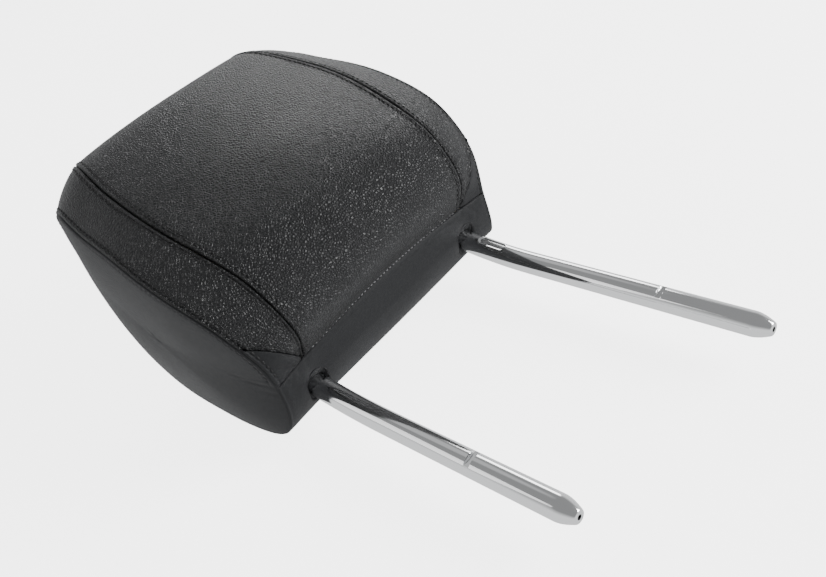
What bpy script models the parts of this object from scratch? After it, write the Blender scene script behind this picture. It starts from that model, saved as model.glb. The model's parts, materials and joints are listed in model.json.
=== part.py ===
"""Head restraint on two chromed posts, lying on its back with the front face up.

Frame: +X across the cushion, +Y from the post tips towards the top of the head, +Z out of the front face.
The origin is under the middle of the object, on the surface that it lies on.  All sizes are in millimetres
until a mesh is made, and MM turns them into metres.

The cushion's skin is one closed sleeve across X, capped by a domed gusset at each end.  The sleeve's section
is given at three places: on the middle plane, at the inner seams and at the outer seams.
"""
import math

import bpy
import numpy as np
from mathutils import Matrix, Vector

MM = 0.001
GAP = 0.3                       # clearance between pieces that touch

# Posts: one bent tube
POST_DIAMETER = 14.0
POST_WALL = 2.5
POST_SPACING = 143.0
LEFT_TIP_Y = -173.5
RIGHT_TIP_Y = -198.5            # the right post is longer, so that it enters its sleeve first
POST_AXIS_Z = 21.5
TIP_TAPER = 9.0                 # length of the bullet tip
TIP_FLAT_DIAMETER = 7.4
TIP_VENT_DIAMETER = 3.0
NOTCH_FROM_TIP = 63.0
NOTCH_WIDTH = 4.0
NOTCH_DEPTH = 2.0
STAMP_CENTRE_Y = -15.0          # the stamped recess lies on the right post's gentle bend
STAMP_LENGTH = 20.0
STAMP_WIDTH = 5.0
STAMP_DEPTH = 0.7
BEND_START_Y = -45.5
BEND_ANGLE = math.radians(9.0)
BEND_RADIUS = 320.0
CROSSBAR_FROM_BEND = 52.0       # straight run from the end of the gentle bend to the crossbar's axis
CORNER_RADIUS = 20.0

# Tilt joint on the crossbar
TILT_FORWARD = math.radians(6.0)
TILT_BACK = math.radians(4.0)
BUSH_X = 38.0
BUSH_WIDTH = 16.0
BUSH_OUTER_RADIUS = 10.0
RUNNING_CLEARANCE = 0.08
CLAMP_X = 17.0
CLAMP_WIDTH = 12.0
CLAMP_THICKNESS = 1.5
STOP_WIDTH = 8.0
STOP_HALF = 4.0                  # half thickness of the stop tab
STOP_REACH = 13.6                # how far the tab's end is from the crossbar's axis
STOP_RIB_TOP = -11.0             # the ribs it meets end at this B
EAR_GAP, EAR_TOP = 1.3, 19.0     # half of the clamp's opening, and how far its ears reach
CLAMP_SCREW_B = 13.5
CLAMP_SCREW_RADIUS, CLAMP_HEAD_RADIUS, CLAMP_NUT_RADIUS = 2.0, 3.5, 4.0
CLAMP_HEAD_HEIGHT, CLAMP_NUT_HEIGHT, CLAMP_SHANK_END = 2.6, 3.2, -8.0

# Core shells, in the frame of the crossbar: A along the posts' upper ends, B forward, X across
CORE_HALF_WIDTH = 88.0
CORE_BOTTOM_A = -22.0
CORE_TOP_A = 80.0
CORE_REAR_B = -17.0
CORE_FRONT_B = 30.0
CORE_WALL = 2.5
SADDLE_HALF = 14.0               # half depth, along A, of the blocks that hold the bushes
SCREW_PLACES = ((-72.0, 66.0), (0.0, 66.0), (72.0, 66.0), (-66.0, 24.0), (66.0, 24.0), (0.0, -15.3))
SCREW_RADIUS = 1.5
SCREW_HEAD_RADIUS = 3.0
BOSS_RADIUS = 4.6
BOSS_SETBACK = 0.2              # the bosses end this far below the rim, so that the rims meet first

# Cover
COVER_THICKNESS = 2.0
FOAM_GAP = 1.2                  # the padding's flats stay this far inside the cover's curve
SLOT_HALF_WIDTH = 7.7
SLOT_MARGIN = 0.8

# The sleeve's stations run from the seam under the front panel, up the front, over the top, down the rear
# and along the bottom.  Each row is (y, z) on the middle plane, (x, y, z) at the inner seam and (x, y, z) at
# the outer seam.
STATIONS = (
    ((5.5, 56.0), (72.5, 6.0, 51.0), (96.5, 4.5, 48.5)),
    ((-3.5, 75.0), (73.5, -2.5, 72.0), (98.5, 5.0, 66.0)),
    ((0.0, 95.0), (75.5, 3.5, 92.5), (102.5, 11.0, 83.0)),
    ((12.0, 113.0), (77.0, 16.0, 107.5), (106.5, 24.5, 98.5)),
    ((36.0, 127.5), (79.5, 38.5, 120.0), (110.0, 45.0, 111.0)),
    ((69.5, 139.5), (82.5, 71.5, 132.0), (110.5, 76.5, 122.5)),
    ((105.5, 149.0), (82.0, 106.5, 142.0), (108.5, 105.5, 129.5)),
    ((141.5, 156.0), (78.0, 141.5, 149.5), (105.5, 137.5, 133.5)),
    ((174.0, 156.5), (71.5, 174.0, 153.0), (100.5, 168.0, 136.5)),
    ((192.0, 147.0), (67.5, 191.5, 144.0), (97.5, 184.5, 128.0)),
    ((198.5, 126.0), (66.0, 197.0, 123.0), (97.0, 190.0, 111.0)),
    ((196.0, 92.0), (68.0, 194.0, 91.0), (100.0, 187.5, 86.0)),
    ((183.0, 53.0), (73.0, 181.5, 53.0), (104.0, 174.5, 52.0)),
    ((152.0, 18.0), (78.0, 151.5, 18.5), (107.0, 147.0, 22.0)),
    ((116.0, 2.0), (80.0, 115.5, 3.0), (108.0, 113.5, 9.0)),
    ((76.5, -1.0), (80.0, 76.5, 0.0), (107.5, 76.5, 6.0)),
    ((38.0, 1.5), (79.0, 38.0, 2.5), (105.0, 38.0, 5.0)),
    ((14.5, 10.5), (76.0, 14.5, 11.0), (100.5, 13.5, 10.5)),
    ((6.5, 27.0), (73.5, 6.5, 27.0), (97.5, 6.0, 27.0)),
)
FRONT_START, STRIP_START, FRONT_END, REAR_END = 0, 2.0, 10.4, 17.0
GUSSET_CENTRE = (114.0, 92.0, 70.0)
GUSSET_RINGS = (1.0, 0.86, 0.62, 0.34)
GUSSET_SPOKES = 44
FOAM_SECTIONS = 72
FOAM_EDGE_MARGIN = 2.0             # the padding stops this far short of the outer seam's inside
SLOT_CORNER = 3.0


def clear_scene():
    for item in list(bpy.data.objects):
        bpy.data.objects.remove(item, do_unlink=True)


def material(name, colour, roughness, metallic=0.0):
    found = bpy.data.materials.get(name)
    if found:
        return found
    made = bpy.data.materials.new(name)
    made.use_nodes = True
    shader = made.node_tree.nodes["Principled BSDF"]
    shader.inputs["Base Color"].default_value = (*colour, 1.0)
    shader.inputs["Roughness"].default_value = roughness
    shader.inputs["Metallic"].default_value = metallic
    return made


def chrome():
    return material("chrome", (0.78, 0.79, 0.80), 0.08, 1.0)


def steel():
    return material("spring_steel", (0.35, 0.35, 0.36), 0.35, 1.0)


def zinc():
    return material("zinc_screws", (0.62, 0.62, 0.60), 0.3, 1.0)


def acetal():
    return material("acetal", (0.85, 0.84, 0.80), 0.4)


def black_plastic():
    return material("black_plastic", (0.03, 0.03, 0.032), 0.5)


def foam():
    return material("foam", (0.62, 0.60, 0.52), 0.95)


def grained_leather():
    return material("grained_leather", (0.030, 0.031, 0.034), 0.42)


def smooth_leather():
    return material("smooth_leather", (0.036, 0.037, 0.040), 0.5)


def add_object(name, points, faces, finish, parent=None):
    """Make a mesh object from points in millimetres, placed in world space whatever its parent."""
    mesh = bpy.data.meshes.new(name)
    mesh.from_pydata([tuple(float(c) * MM for c in p) for p in points], [], faces)
    mesh.validate()
    made = bpy.data.objects.new(name, mesh)
    bpy.context.collection.objects.link(made)
    if finish is None:
        made.hide_render = True
        made.display_type = "WIRE"
    else:
        mesh.materials.append(finish)
    if parent is not None:
        made.parent = parent
        made.matrix_parent_inverse = parent.matrix_world.inverted()
    return made


def shade(item, degrees=35.0):
    item.data.shade_smooth()
    item.data.set_sharp_from_angle(angle=math.radians(degrees))


def boolean(item, cutter, operation="DIFFERENCE"):
    step = item.modifiers.new(operation.lower() + "_" + cutter.name, "BOOLEAN")
    step.object = cutter
    step.operation = operation
    step.solver = "EXACT"


def box(name, low, high, finish=None, frame=Matrix.Identity(4), parent=None):
    corners = [(x, y, z) for x in (low[0], high[0]) for y in (low[1], high[1]) for z in (low[2], high[2])]
    points = [frame @ Vector(c) for c in corners]
    faces = [(0, 1, 3, 2), (4, 6, 7, 5), (0, 4, 5, 1), (2, 3, 7, 6), (0, 2, 6, 4), (1, 5, 7, 3)]
    return add_object(name, points, faces, finish, parent)


def prism(name, outline, axis_from, axis_to, place, finish=None, parent=None):
    """Extrude a counter-clockwise outline; place(u, v, w) turns outline and depth into a point."""
    count = len(outline)
    points = [place(u, v, axis_from) for u, v in outline] + [place(u, v, axis_to) for u, v in outline]
    faces = [tuple(reversed(range(count))), tuple(range(count, 2 * count))]
    faces += [(i, (i + 1) % count, count + (i + 1) % count, count + i) for i in range(count)]
    return add_object(name, points, faces, finish, parent)


def circle(radius, count, centre=(0.0, 0.0)):
    turns = [2 * math.pi * k / count for k in range(count)]
    return [(centre[0] + radius * math.cos(t), centre[1] + radius * math.sin(t)) for t in turns]


# ---------------------------------------------------------------------------------------------- cushion skin

def periodic_spline(knots, values, where):
    """Closed cubic spline through values at knots, where knots has one more entry that closes the loop."""
    count = len(values)
    step = np.diff(knots)
    matrix = np.zeros((count, count))
    rise = np.zeros_like(values)
    for i in range(count):
        before, after = step[i - 1], step[i]
        matrix[i, i - 1] += before
        matrix[i, i] += 2 * (before + after)
        matrix[i, (i + 1) % count] += after
        rise[i] = 6 * ((values[(i + 1) % count] - values[i]) / after - (values[i] - values[i - 1]) / before)
    bend = np.linalg.solve(matrix, rise)
    where = np.mod(where - knots[0], knots[-1] - knots[0]) + knots[0]
    cell = np.clip(np.searchsorted(knots, where, side="right") - 1, 0, count - 1)
    after = (cell + 1) % count
    width = step[cell][..., None]
    right = where[..., None] - knots[cell][..., None]
    left = width - right
    return (bend[cell] * left ** 3 + bend[after] * right ** 3) / (6 * width) \
        + (values[cell] / width - bend[cell] * width / 6) * left \
        + (values[after] / width - bend[after] * width / 6) * right


def station_tables():
    middle = np.array([(0.0, *m) for m, _, _ in STATIONS])
    inner = np.array([i for _, i, _ in STATIONS], dtype=float)
    outer = np.array([o for _, _, o in STATIONS], dtype=float)
    run = np.linalg.norm(np.diff(np.vstack([inner, inner[:1]]), axis=0), axis=1)
    return middle, inner, outer, np.concatenate([[0.0], np.cumsum(run)])


MIDDLE, INNER, OUTER, KNOTS = station_tables()


def at_station(station):
    """Length along the sleeve's section of a station number, which may be a fraction."""
    return np.interp(station, np.arange(len(KNOTS)), KNOTS)


def sleeve(along, across):
    """Point of the sleeve: along is a length round the section, across runs -2..2 with seams at 1 and 2.

    Between the middle and the inner seam the section sinks as a parabola.  Between the inner and the outer
    seam it sinks along a second parabola that starts with half of the average slope, and z never goes below
    the surface that the cushion rests on.
    """
    along, across = np.broadcast_arrays(np.asarray(along, float), np.asarray(across, float))
    middle = periodic_spline(KNOTS, MIDDLE, along)
    inner = periodic_spline(KNOTS, INNER, along)
    outer = periodic_spline(KNOTS, OUTER, along)
    side = np.abs(across)[..., None]
    near = middle + (inner - middle) * side ** 2
    near[..., 0] = inner[..., 0] * side[..., 0]
    reach = (outer[..., 0] - inner[..., 0])[..., None]
    slope_in = 2 * (inner - middle) / inner[..., :1]
    chord = (outer - inner) / reach
    start = 0.5 * (slope_in + chord)
    run = (side - 1) * reach
    far = inner + start * run + (chord - start) / reach * run ** 2
    far[..., 0] = inner[..., 0] + run[..., 0]
    point = np.where(side <= 1, near, far)
    point[..., 0] *= np.where(across < 0, -1.0, 1.0)
    point[..., 2] = np.maximum(point[..., 2], 0.0)
    return point


def sleeve_inset(along, across, depth):
    """The sleeve moved inwards along its own normal."""
    step_along, step_across = 0.5, 0.01
    across = np.asarray(across, float)
    low = np.clip(across - step_across, -2, 2)
    high = np.clip(across + step_across, -2, 2)
    tangent = sleeve(along + step_along, across) - sleeve(along - step_along, across)
    sideways = sleeve(along, high) - sleeve(along, low)
    normal = np.cross(sideways, tangent)
    normal /= np.linalg.norm(normal, axis=-1, keepdims=True)
    return sleeve(along, across) - normal * depth


def across_for_edge(along, margin):
    """The across value, near 2, whose x is margin short of the outer seam's x."""
    inner = periodic_spline(KNOTS, INNER, along)[..., 0]
    outer = periodic_spline(KNOTS, OUTER, along)[..., 0]
    return 2 - margin / (outer - inner)


def dome(along, ring, side, inset=0.0):
    """The gusset: the outer seam drawn in towards its centre, swelling outwards as an ellipse."""
    outer = periodic_spline(KNOTS, OUTER, np.asarray(along, float))
    centre = np.array(GUSSET_CENTRE)
    point = centre + (outer - centre) * ring
    swell = 1 - ring ** 2
    point[..., 0] = outer[..., 0] + (centre[0] - outer[..., 0]) * swell - inset
    point[..., 0] *= side
    point[..., 2] = np.maximum(point[..., 2], 0.0)
    return point


def grid_faces(rows, columns, first=0):
    """Quads of a grid of rows by columns points, numbered row by row."""
    return [(first + r * columns + c, first + r * columns + c + 1,
             first + (r + 1) * columns + c + 1, first + (r + 1) * columns + c)
            for r in range(rows - 1) for c in range(columns - 1)]


def closed_sheet(name, outer, inner, finish, parent):
    """A solid sheet between two grids of the same size; the outer grid's faces point outwards."""
    rows, columns = outer.shape[:2]
    count = rows * columns
    points = np.vstack([outer.reshape(-1, 3), inner.reshape(-1, 3)])
    faces = grid_faces(rows, columns)
    faces += [tuple(reversed(f)) for f in grid_faces(rows, columns, count)]
    rim = [c for c in range(columns)]
    rim += [r * columns + columns - 1 for r in range(1, rows)]
    rim += [(rows - 1) * columns + c for c in range(columns - 2, -1, -1)]
    rim += [r * columns for r in range(rows - 2, 0, -1)]
    faces += [(b, a, a + count, b + count) for a, b in zip(rim, rim[1:] + rim[:1])]
    made = add_object(name, points, faces, finish, parent)
    shade(made)
    return made


def sleeve_panel(name, start, end, low_across, high_across, rows, columns, finish, parent):
    """A cover panel on the sleeve.  start and end give the station limits for an across value."""
    share = np.linspace(0, 1, rows)[:, None]
    steps = np.linspace(0, 1, columns)[None, :]
    guess = low_across + (high_across - low_across) * steps[0]
    first = np.array([at_station(start(a)) for a in np.abs(guess)])[None, :] + GAP / 2
    last = np.array([at_station(end(a)) for a in np.abs(guess)])[None, :] - GAP / 2
    along = first + (last - first) * share
    edge = COVER_THICKNESS + 2 * GAP
    low = -across_for_edge(along, edge) if low_across <= -2 else low_across
    high = across_for_edge(along, edge) if high_across >= 2 else high_across
    across = low + (high - low) * steps
    outer = sleeve(along, across)
    inner = sleeve_inset(along, across, COVER_THICKNESS)
    return closed_sheet(name, outer, inner, finish, parent)


def gusset_panel(name, side, finish, parent):
    """A domed side gusset as a solid sheet, closed at its centre by one point on each face."""
    count = GUSSET_SPOKES
    along = np.linspace(0, KNOTS[-1], count, endpoint=False)
    rings = [dome(along, ring, side) for ring in GUSSET_RINGS]
    inner_rings = [dome(along, ring, side, COVER_THICKNESS) for ring in GUSSET_RINGS]
    centre = np.array(GUSSET_CENTRE) * (side, 1, 1)
    inner_centre = centre - np.array((side * COVER_THICKNESS, 0, 0))
    points = np.vstack(rings + inner_rings + [centre, inner_centre])
    levels = len(GUSSET_RINGS)
    middle, inner_middle = len(points) - 2, len(points) - 1
    faces = []
    for k in range(count):
        n = (k + 1) % count
        for level in range(levels - 1):
            a, b = level * count, (level + 1) * count
            faces.append((a + k, a + n, b + n, b + k))
            a, b = a + levels * count, b + levels * count
            faces.append((b + k, b + n, a + n, a + k))
        last = (levels - 1) * count
        faces.append((last + k, last + n, middle))
        faces.append((inner_middle, last + levels * count + n, last + levels * count + k))
        faces.append((levels * count + k, levels * count + n, n, k))
    if side > 0:
        faces = [tuple(reversed(f)) for f in faces]
    made = add_object(name, points, faces, finish, parent)
    shade(made)
    return made


def foam_block(name, parent):
    """The whole padding as one closed solid: inset sleeve rings, then two inset domes."""
    depth = COVER_THICKNESS + FOAM_GAP
    count = FOAM_SECTIONS
    along = np.linspace(0, KNOTS[-1], count, endpoint=False)
    edge = 2 * COVER_THICKNESS + 3 * GAP + FOAM_EDGE_MARGIN
    rings = []
    centre = np.array(GUSSET_CENTRE)
    for ring in GUSSET_RINGS[:0:-1]:
        rings.append(dome(along, ring, -1, 2 * depth))
    for share in np.linspace(-1, 1, 13):
        rings.append(sleeve_inset(along, share * across_for_edge(along, edge), depth))
    for ring in GUSSET_RINGS[1:]:
        rings.append(dome(along, ring, 1, 2 * depth))
    points = np.vstack(rings + [centre * (-1, 1, 1) + (2 * depth, 0, 0), centre - (2 * depth, 0, 0)])
    left, right = len(points) - 2, len(points) - 1
    faces = []
    for k in range(count):
        n = (k + 1) % count
        faces.append((left, n, k))
        for level in range(len(rings) - 1):
            a, b = level * count, (level + 1) * count
            faces.append((a + k, a + n, b + n, b + k))
        last = (len(rings) - 1) * count
        faces.append((last + k, last + n, right))
    made = add_object(name, points, faces, foam(), parent)
    shade(made)
    return made


# ------------------------------------------------------------------------------------------------ post frame

def crossbar_frame():
    """Frame of the crossbar: X across, second axis A along the posts' upper ends, third axis B forward."""
    y = BEND_START_Y + BEND_RADIUS * math.sin(BEND_ANGLE) + CROSSBAR_FROM_BEND * math.cos(BEND_ANGLE)
    z = POST_AXIS_Z + BEND_RADIUS * (1 - math.cos(BEND_ANGLE)) + CROSSBAR_FROM_BEND * math.sin(BEND_ANGLE)
    return Matrix.Translation((0, y, z)) @ Matrix.Rotation(BEND_ANGLE, 4, "X")


CORE = crossbar_frame()


def leg_path(tip_y, side):
    """Centre line of one leg, from its tip to the crossbar: straight, gentle bend, straight, tight corner."""
    x = side * POST_SPACING / 2
    path = [(x, tip_y, POST_AXIS_Z)]
    path += [(x, tip_y + step, POST_AXIS_Z) for step in (3.0, 6.0, TIP_TAPER)]
    path.append((x, tip_y + NOTCH_FROM_TIP + 12, POST_AXIS_Z))
    bends = 7
    for k in range(bends):
        turn = BEND_ANGLE * k / (bends - 1)
        path.append((x, BEND_START_Y + BEND_RADIUS * math.sin(turn),
                     POST_AXIS_Z + BEND_RADIUS * (1 - math.cos(turn))))
    corners = 9
    for k in range(corners):
        turn = math.pi / 2 * k / (corners - 1)
        local = Vector((side * (POST_SPACING / 2 - CORNER_RADIUS * (1 - math.cos(turn))),
                        -CORNER_RADIUS * (1 - math.sin(turn)), 0))
        path.append(tuple(CORE @ local))
    return path


def leg_radii(path_length, outer):
    """Radius at each point of a leg's path: the bullet tip rounds in to a small flat."""
    full = POST_DIAMETER / 2 - (0 if outer else POST_WALL)
    flat = (TIP_FLAT_DIAMETER if outer else TIP_VENT_DIAMETER) / 2
    shares = (0.0, 0.52, 0.86, 1.0) if outer else (0.0, 0.0, 0.5, 1.0)
    tip = [flat + (full - flat) * share for share in shares]
    return tip + [full] * (path_length - len(tip))


def tube_rings(path, radii, sides):
    """Circles of points square to a path."""
    path = np.array(path)
    tangent = np.gradient(path, axis=0)
    tangent[0], tangent[-1] = path[1] - path[0], path[-1] - path[-2]
    tangent /= np.linalg.norm(tangent, axis=1, keepdims=True)
    up = np.array(CORE.to_3x3() @ Vector((0, 0, 1)))
    rings = []
    for point, along, radius in zip(path, tangent, radii):
        first = np.cross(up, along)
        first /= np.linalg.norm(first)
        second = np.cross(along, first)
        turns = 2 * np.pi * (np.arange(sides) + 0.5) / sides
        rings.append(point + radius * (np.outer(np.cos(turns), first) + np.outer(np.sin(turns), second)))
    return rings


def make_post_frame():
    """One hollow tube, open only at the small vents in its two tips."""
    sides = 20
    left = leg_path(LEFT_TIP_Y, -1)
    right = leg_path(RIGHT_TIP_Y, 1)
    path = left + right[::-1]
    outer = tube_rings(path, leg_radii(len(left), True) + leg_radii(len(right), True)[::-1], sides)
    inner = tube_rings(path, leg_radii(len(left), False) + leg_radii(len(right), False)[::-1], sides)
    points = np.vstack(outer + inner)
    rows, shift = len(path), len(path) * sides
    faces = []
    for r in range(rows - 1):
        for k in range(sides):
            n = (k + 1) % sides
            a, b = r * sides, (r + 1) * sides
            faces.append((a + k, a + n, b + n, b + k))
            faces.append((shift + b + k, shift + b + n, shift + a + n, shift + a + k))
    end = (rows - 1) * sides
    for k in range(sides):
        n = (k + 1) % sides
        faces.append((shift + k, shift + n, n, k))
        faces.append((end + k, end + n, shift + end + n, shift + end + k))
    frame = add_object("post_frame", points, faces, chrome())
    for side, tip_y, label in ((-1, LEFT_TIP_Y, "left"), (1, RIGHT_TIP_Y, "right")):
        x = side * POST_SPACING / 2
        top = POST_AXIS_Z + POST_DIAMETER / 2
        notch_y = tip_y + NOTCH_FROM_TIP
        notch = box(label + "_notch_cutter",
                    (x - POST_DIAMETER, notch_y - NOTCH_WIDTH / 2, top - NOTCH_DEPTH),
                    (x + POST_DIAMETER, notch_y + NOTCH_WIDTH / 2, top + 2))
        boolean(frame, notch)
    turn = math.asin((STAMP_CENTRE_Y - BEND_START_Y) / BEND_RADIUS)
    seat = Matrix.Translation((POST_SPACING / 2, STAMP_CENTRE_Y, POST_AXIS_Z + BEND_RADIUS * (1 - math.cos(turn))))
    seat = seat @ Matrix.Rotation(turn, 4, "X")
    stamp = prism("stamp_cutter", stadium(STAMP_LENGTH, STAMP_WIDTH, 6), POST_DIAMETER / 2 - STAMP_DEPTH,
                  POST_DIAMETER / 2 + 2, lambda u, v, w: seat @ Vector((v, -u, w)))
    boolean(frame, stamp)
    shade(frame)
    return frame


def stadium(length, width, steps):
    """Outline of a slot with round ends, counter-clockwise."""
    radius = width / 2
    half = length / 2 - radius
    turns = np.linspace(-math.pi / 2, math.pi / 2, steps)
    right = [(half + radius * math.cos(t), radius * math.sin(t)) for t in turns]
    return right + [(-u, -v) for u, v in right]


# ------------------------------------------------------------------------------------ crossbar joint and core

def in_core(u, v, w):
    """Point at x = w, A = u, B = v of the core's frame."""
    return CORE @ Vector((w, u, v))


def along_a(centre_x, centre_b):
    """Places a prism's outline square to the core's A axis."""
    return lambda u, v, w: CORE @ Vector((centre_x + v, w, centre_b + u))


def along_b(centre_x, centre_a):
    """Places a prism's outline square to the core's B axis."""
    return lambda u, v, w: CORE @ Vector((centre_x + u, centre_a + v, w))


def ring_sector(inner, outer, start, end, steps):
    """Outline of part of a ring, in the A-B plane, counter-clockwise."""
    turns = np.linspace(start, end, steps)
    out = [(outer * math.cos(t), outer * math.sin(t)) for t in turns]
    back = [(inner * math.cos(t), inner * math.sin(t)) for t in turns[::-1]]
    return out + back


def make_bushes(parent):
    radius = POST_DIAMETER / 2 + RUNNING_CLEARANCE
    slit = 0.03
    for side, label in ((-1, "left"), (1, "right")):
        centre = side * BUSH_X
        span = (centre - BUSH_WIDTH / 2, centre + BUSH_WIDTH / 2)
        for start, half in ((0.0, "front"), (math.pi, "rear")):
            outline = ring_sector(radius, BUSH_OUTER_RADIUS, start + slit, start + math.pi - slit, 19)
            shade(prism(label + "_bush_" + half, outline, *span, in_core, acetal(), parent))


def make_clamps(parent):
    """Spring clamps: a ring round the crossbar with two ears forward, drawn together by a screw and nut."""
    inner = POST_DIAMETER / 2 + RUNNING_CLEARANCE
    outer = inner + CLAMP_THICKNESS
    opening = math.asin(EAR_GAP / inner)
    turns = np.linspace(math.pi / 2 + opening, 5 * math.pi / 2 - opening, 35)
    ear_root = math.sqrt(outer ** 2 - (EAR_GAP + CLAMP_THICKNESS) ** 2)
    bore = [(inner * math.cos(t), inner * math.sin(t)) for t in turns]
    outer_turn = math.atan2(ear_root, EAR_GAP + CLAMP_THICKNESS)
    rim = [(outer * math.cos(t), outer * math.sin(t))
           for t in np.linspace(2 * math.pi + outer_turn, math.pi - outer_turn, 19)]
    outline = [(-EAR_GAP, EAR_TOP), *bore, (EAR_GAP, EAR_TOP), (EAR_GAP + CLAMP_THICKNESS, EAR_TOP), *rim,
               (-EAR_GAP - CLAMP_THICKNESS, EAR_TOP)]
    outline = outline[::-1]
    for side, label in ((-1, "left"), (1, "right")):
        centre = side * CLAMP_X
        span = (centre - CLAMP_WIDTH / 2, centre + CLAMP_WIDTH / 2)
        clamp = prism(label + "_friction_clamp", outline, *span, in_core, steel(), parent)
        place = along_a(centre, CLAMP_SCREW_B)
        hole = prism(label + "_clamp_hole_cutter", circle(CLAMP_SCREW_RADIUS + GAP, 12), -6.0, 6.0, place)
        boolean(clamp, hole)
        shade(clamp)
        face = EAR_GAP + CLAMP_THICKNESS + GAP
        screw = prism(label + "_clamp_screw", circle(CLAMP_SCREW_RADIUS, 12), CLAMP_SHANK_END, face + 0.2,
                      place, zinc(), parent)
        head = prism(label + "_clamp_head_union", circle(CLAMP_HEAD_RADIUS, 12), face,
                     face + CLAMP_HEAD_HEIGHT, place)
        boolean(screw, head, "UNION")
        shade(screw)
        nut = prism(label + "_clamp_nut", circle(CLAMP_NUT_RADIUS, 6), -face - CLAMP_NUT_HEIGHT, -face,
                    place, zinc(), parent)
        nut_hole = prism(label + "_nut_hole_cutter", circle(CLAMP_SCREW_RADIUS + 0.25, 12), -12.0, 0.0, place)
        boolean(nut, nut_hole)
        shade(nut)


def make_stop_tab():
    """Tab under the crossbar that meets the core's ribs at both ends of the tilt."""
    radius = POST_DIAMETER / 2 + GAP
    half = math.asin(STOP_HALF / radius)
    saddle = [(radius * math.cos(t), radius * math.sin(t))
              for t in np.linspace(3 * math.pi / 2 - half, 3 * math.pi / 2 + half, 7)]
    outline = [(-STOP_HALF, -STOP_REACH), (STOP_HALF, -STOP_REACH), *saddle[::-1]]
    shade(prism("tilt_stop_tab", outline, -STOP_WIDTH / 2, STOP_WIDTH / 2, in_core, steel()))


def core_box(name, low, high, finish=None, parent=None):
    """Box given as (x, A, B) corners in the core's frame."""
    return box(name, low, high, finish, CORE, parent)


def make_core_shell(name, open_b, wall_b, parent):
    """One moulded half of the core: a tray with bush saddles, screw bosses and slots for the legs."""
    toward = 1 if wall_b > open_b else -1
    shell = core_box(name, (-CORE_HALF_WIDTH, CORE_BOTTOM_A, min(open_b, wall_b)),
                     (CORE_HALF_WIDTH, CORE_TOP_A, max(open_b, wall_b)), black_plastic(), parent)
    cavity_low, cavity_high = sorted((open_b - toward * 5.0, wall_b - toward * CORE_WALL))
    inside = CORE_HALF_WIDTH - CORE_WALL
    cavity = core_box(name + "_cavity_cutter", (-inside, CORE_BOTTOM_A + CORE_WALL, cavity_low),
                      (inside, CORE_TOP_A - CORE_WALL, cavity_high))
    boolean(shell, cavity)
    root = wall_b - toward * 1.0
    for side, label in ((-1, "left"), (1, "right")):
        low_x, high_x = side * BUSH_X - BUSH_WIDTH / 2, side * BUSH_X + BUSH_WIDTH / 2
        block_low, block_high = sorted((open_b, root))
        saddle = core_box(f"{name}_{label}_saddle_union", (low_x, -SADDLE_HALF, block_low),
                          (high_x, SADDLE_HALF, block_high))
        boolean(shell, saddle, "UNION")
    for number, (x, a) in enumerate(SCREW_PLACES, 1):
        span = sorted((open_b + toward * BOSS_SETBACK, root))
        boss = prism(f"{name}_boss_{number}_union", circle(BOSS_RADIUS, 12), *span, along_b(x, a))
        boolean(shell, boss, "UNION")
    if toward > 0:
        for end, label in ((-1, "low"), (1, "high")):
            low_a, high_a = sorted((end * 9.0, end * 11.0))
            rib = core_box(f"{name}_{label}_rib_union", (-25.0, low_a, 9.5), (25.0, high_a, root))
            boolean(shell, rib, "UNION")
    else:
        for end, travel, label in ((-1, TILT_FORWARD, "low"), (1, TILT_BACK, "high")):
            face = STOP_HALF + STOP_REACH * math.sin(travel) + GAP
            low_a, high_a = sorted((end * face, end * (face + CORE_WALL)))
            rib = core_box(f"{name}_{label}_stop_union", (-STOP_WIDTH + 2.0, low_a, root),
                           (STOP_WIDTH - 2.0, high_a, STOP_RIB_TOP))
            boolean(shell, rib, "UNION")
    bore = prism(name + "_bush_bore_cutter", circle(BUSH_OUTER_RADIUS + GAP, 24), -BUSH_X - BUSH_WIDTH,
                 BUSH_X + BUSH_WIDTH, in_core)
    boolean(shell, bore)
    for side, label in ((-1, "left"), (1, "right")):
        x = side * POST_SPACING / 2
        slot_low, slot_high = sorted((open_b - toward * 5.0, toward * 11.5))
        slot = core_box(f"{name}_{label}_leg_cutter", (x - 9.0, CORE_BOTTOM_A - 3, slot_low),
                        (x + 9.0, CORE_BOTTOM_A + CORE_WALL + 1, slot_high))
        boolean(shell, slot)
    for number, (x, a) in enumerate(SCREW_PLACES, 1):
        if toward > 0:
            span = (-2.0, 15.5)
        else:
            span = (CORE_REAR_B - 2.0, 2.0)
        hole = prism(f"{name}_hole_{number}_cutter", circle(SCREW_RADIUS + GAP, 10), *span, along_b(x, a))
        boolean(shell, hole)
        if toward < 0:
            sink = prism(f"{name}_sink_{number}_cutter", circle(SCREW_HEAD_RADIUS + GAP, 10),
                         CORE_REAR_B - 2.0, CORE_REAR_B + 2.8, along_b(x, a))
            boolean(shell, sink)
    shade(shell)
    return shell


def make_core_screws(parent):
    for number, (x, a) in enumerate(SCREW_PLACES, 1):
        head_low = CORE_REAR_B + 0.4
        shank = prism(f"core_screw_{number}", circle(SCREW_RADIUS, 10), head_low + 1.0, 14.5, along_b(x, a),
                      zinc(), parent)
        head = prism(f"core_screw_{number}_head_union", circle(SCREW_HEAD_RADIUS, 10), head_low,
                     CORE_REAR_B + 2.5, along_b(x, a))
        boolean(shank, head, "UNION")
        shade(shank)


# -------------------------------------------------------------------------------------------- foam and cover

STRIP_CHANNEL = ((-52.0, 17.0, 2.0), (52.0, 29.0, 18.5))
STRIP_HALF_LENGTH = 50.0


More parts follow.
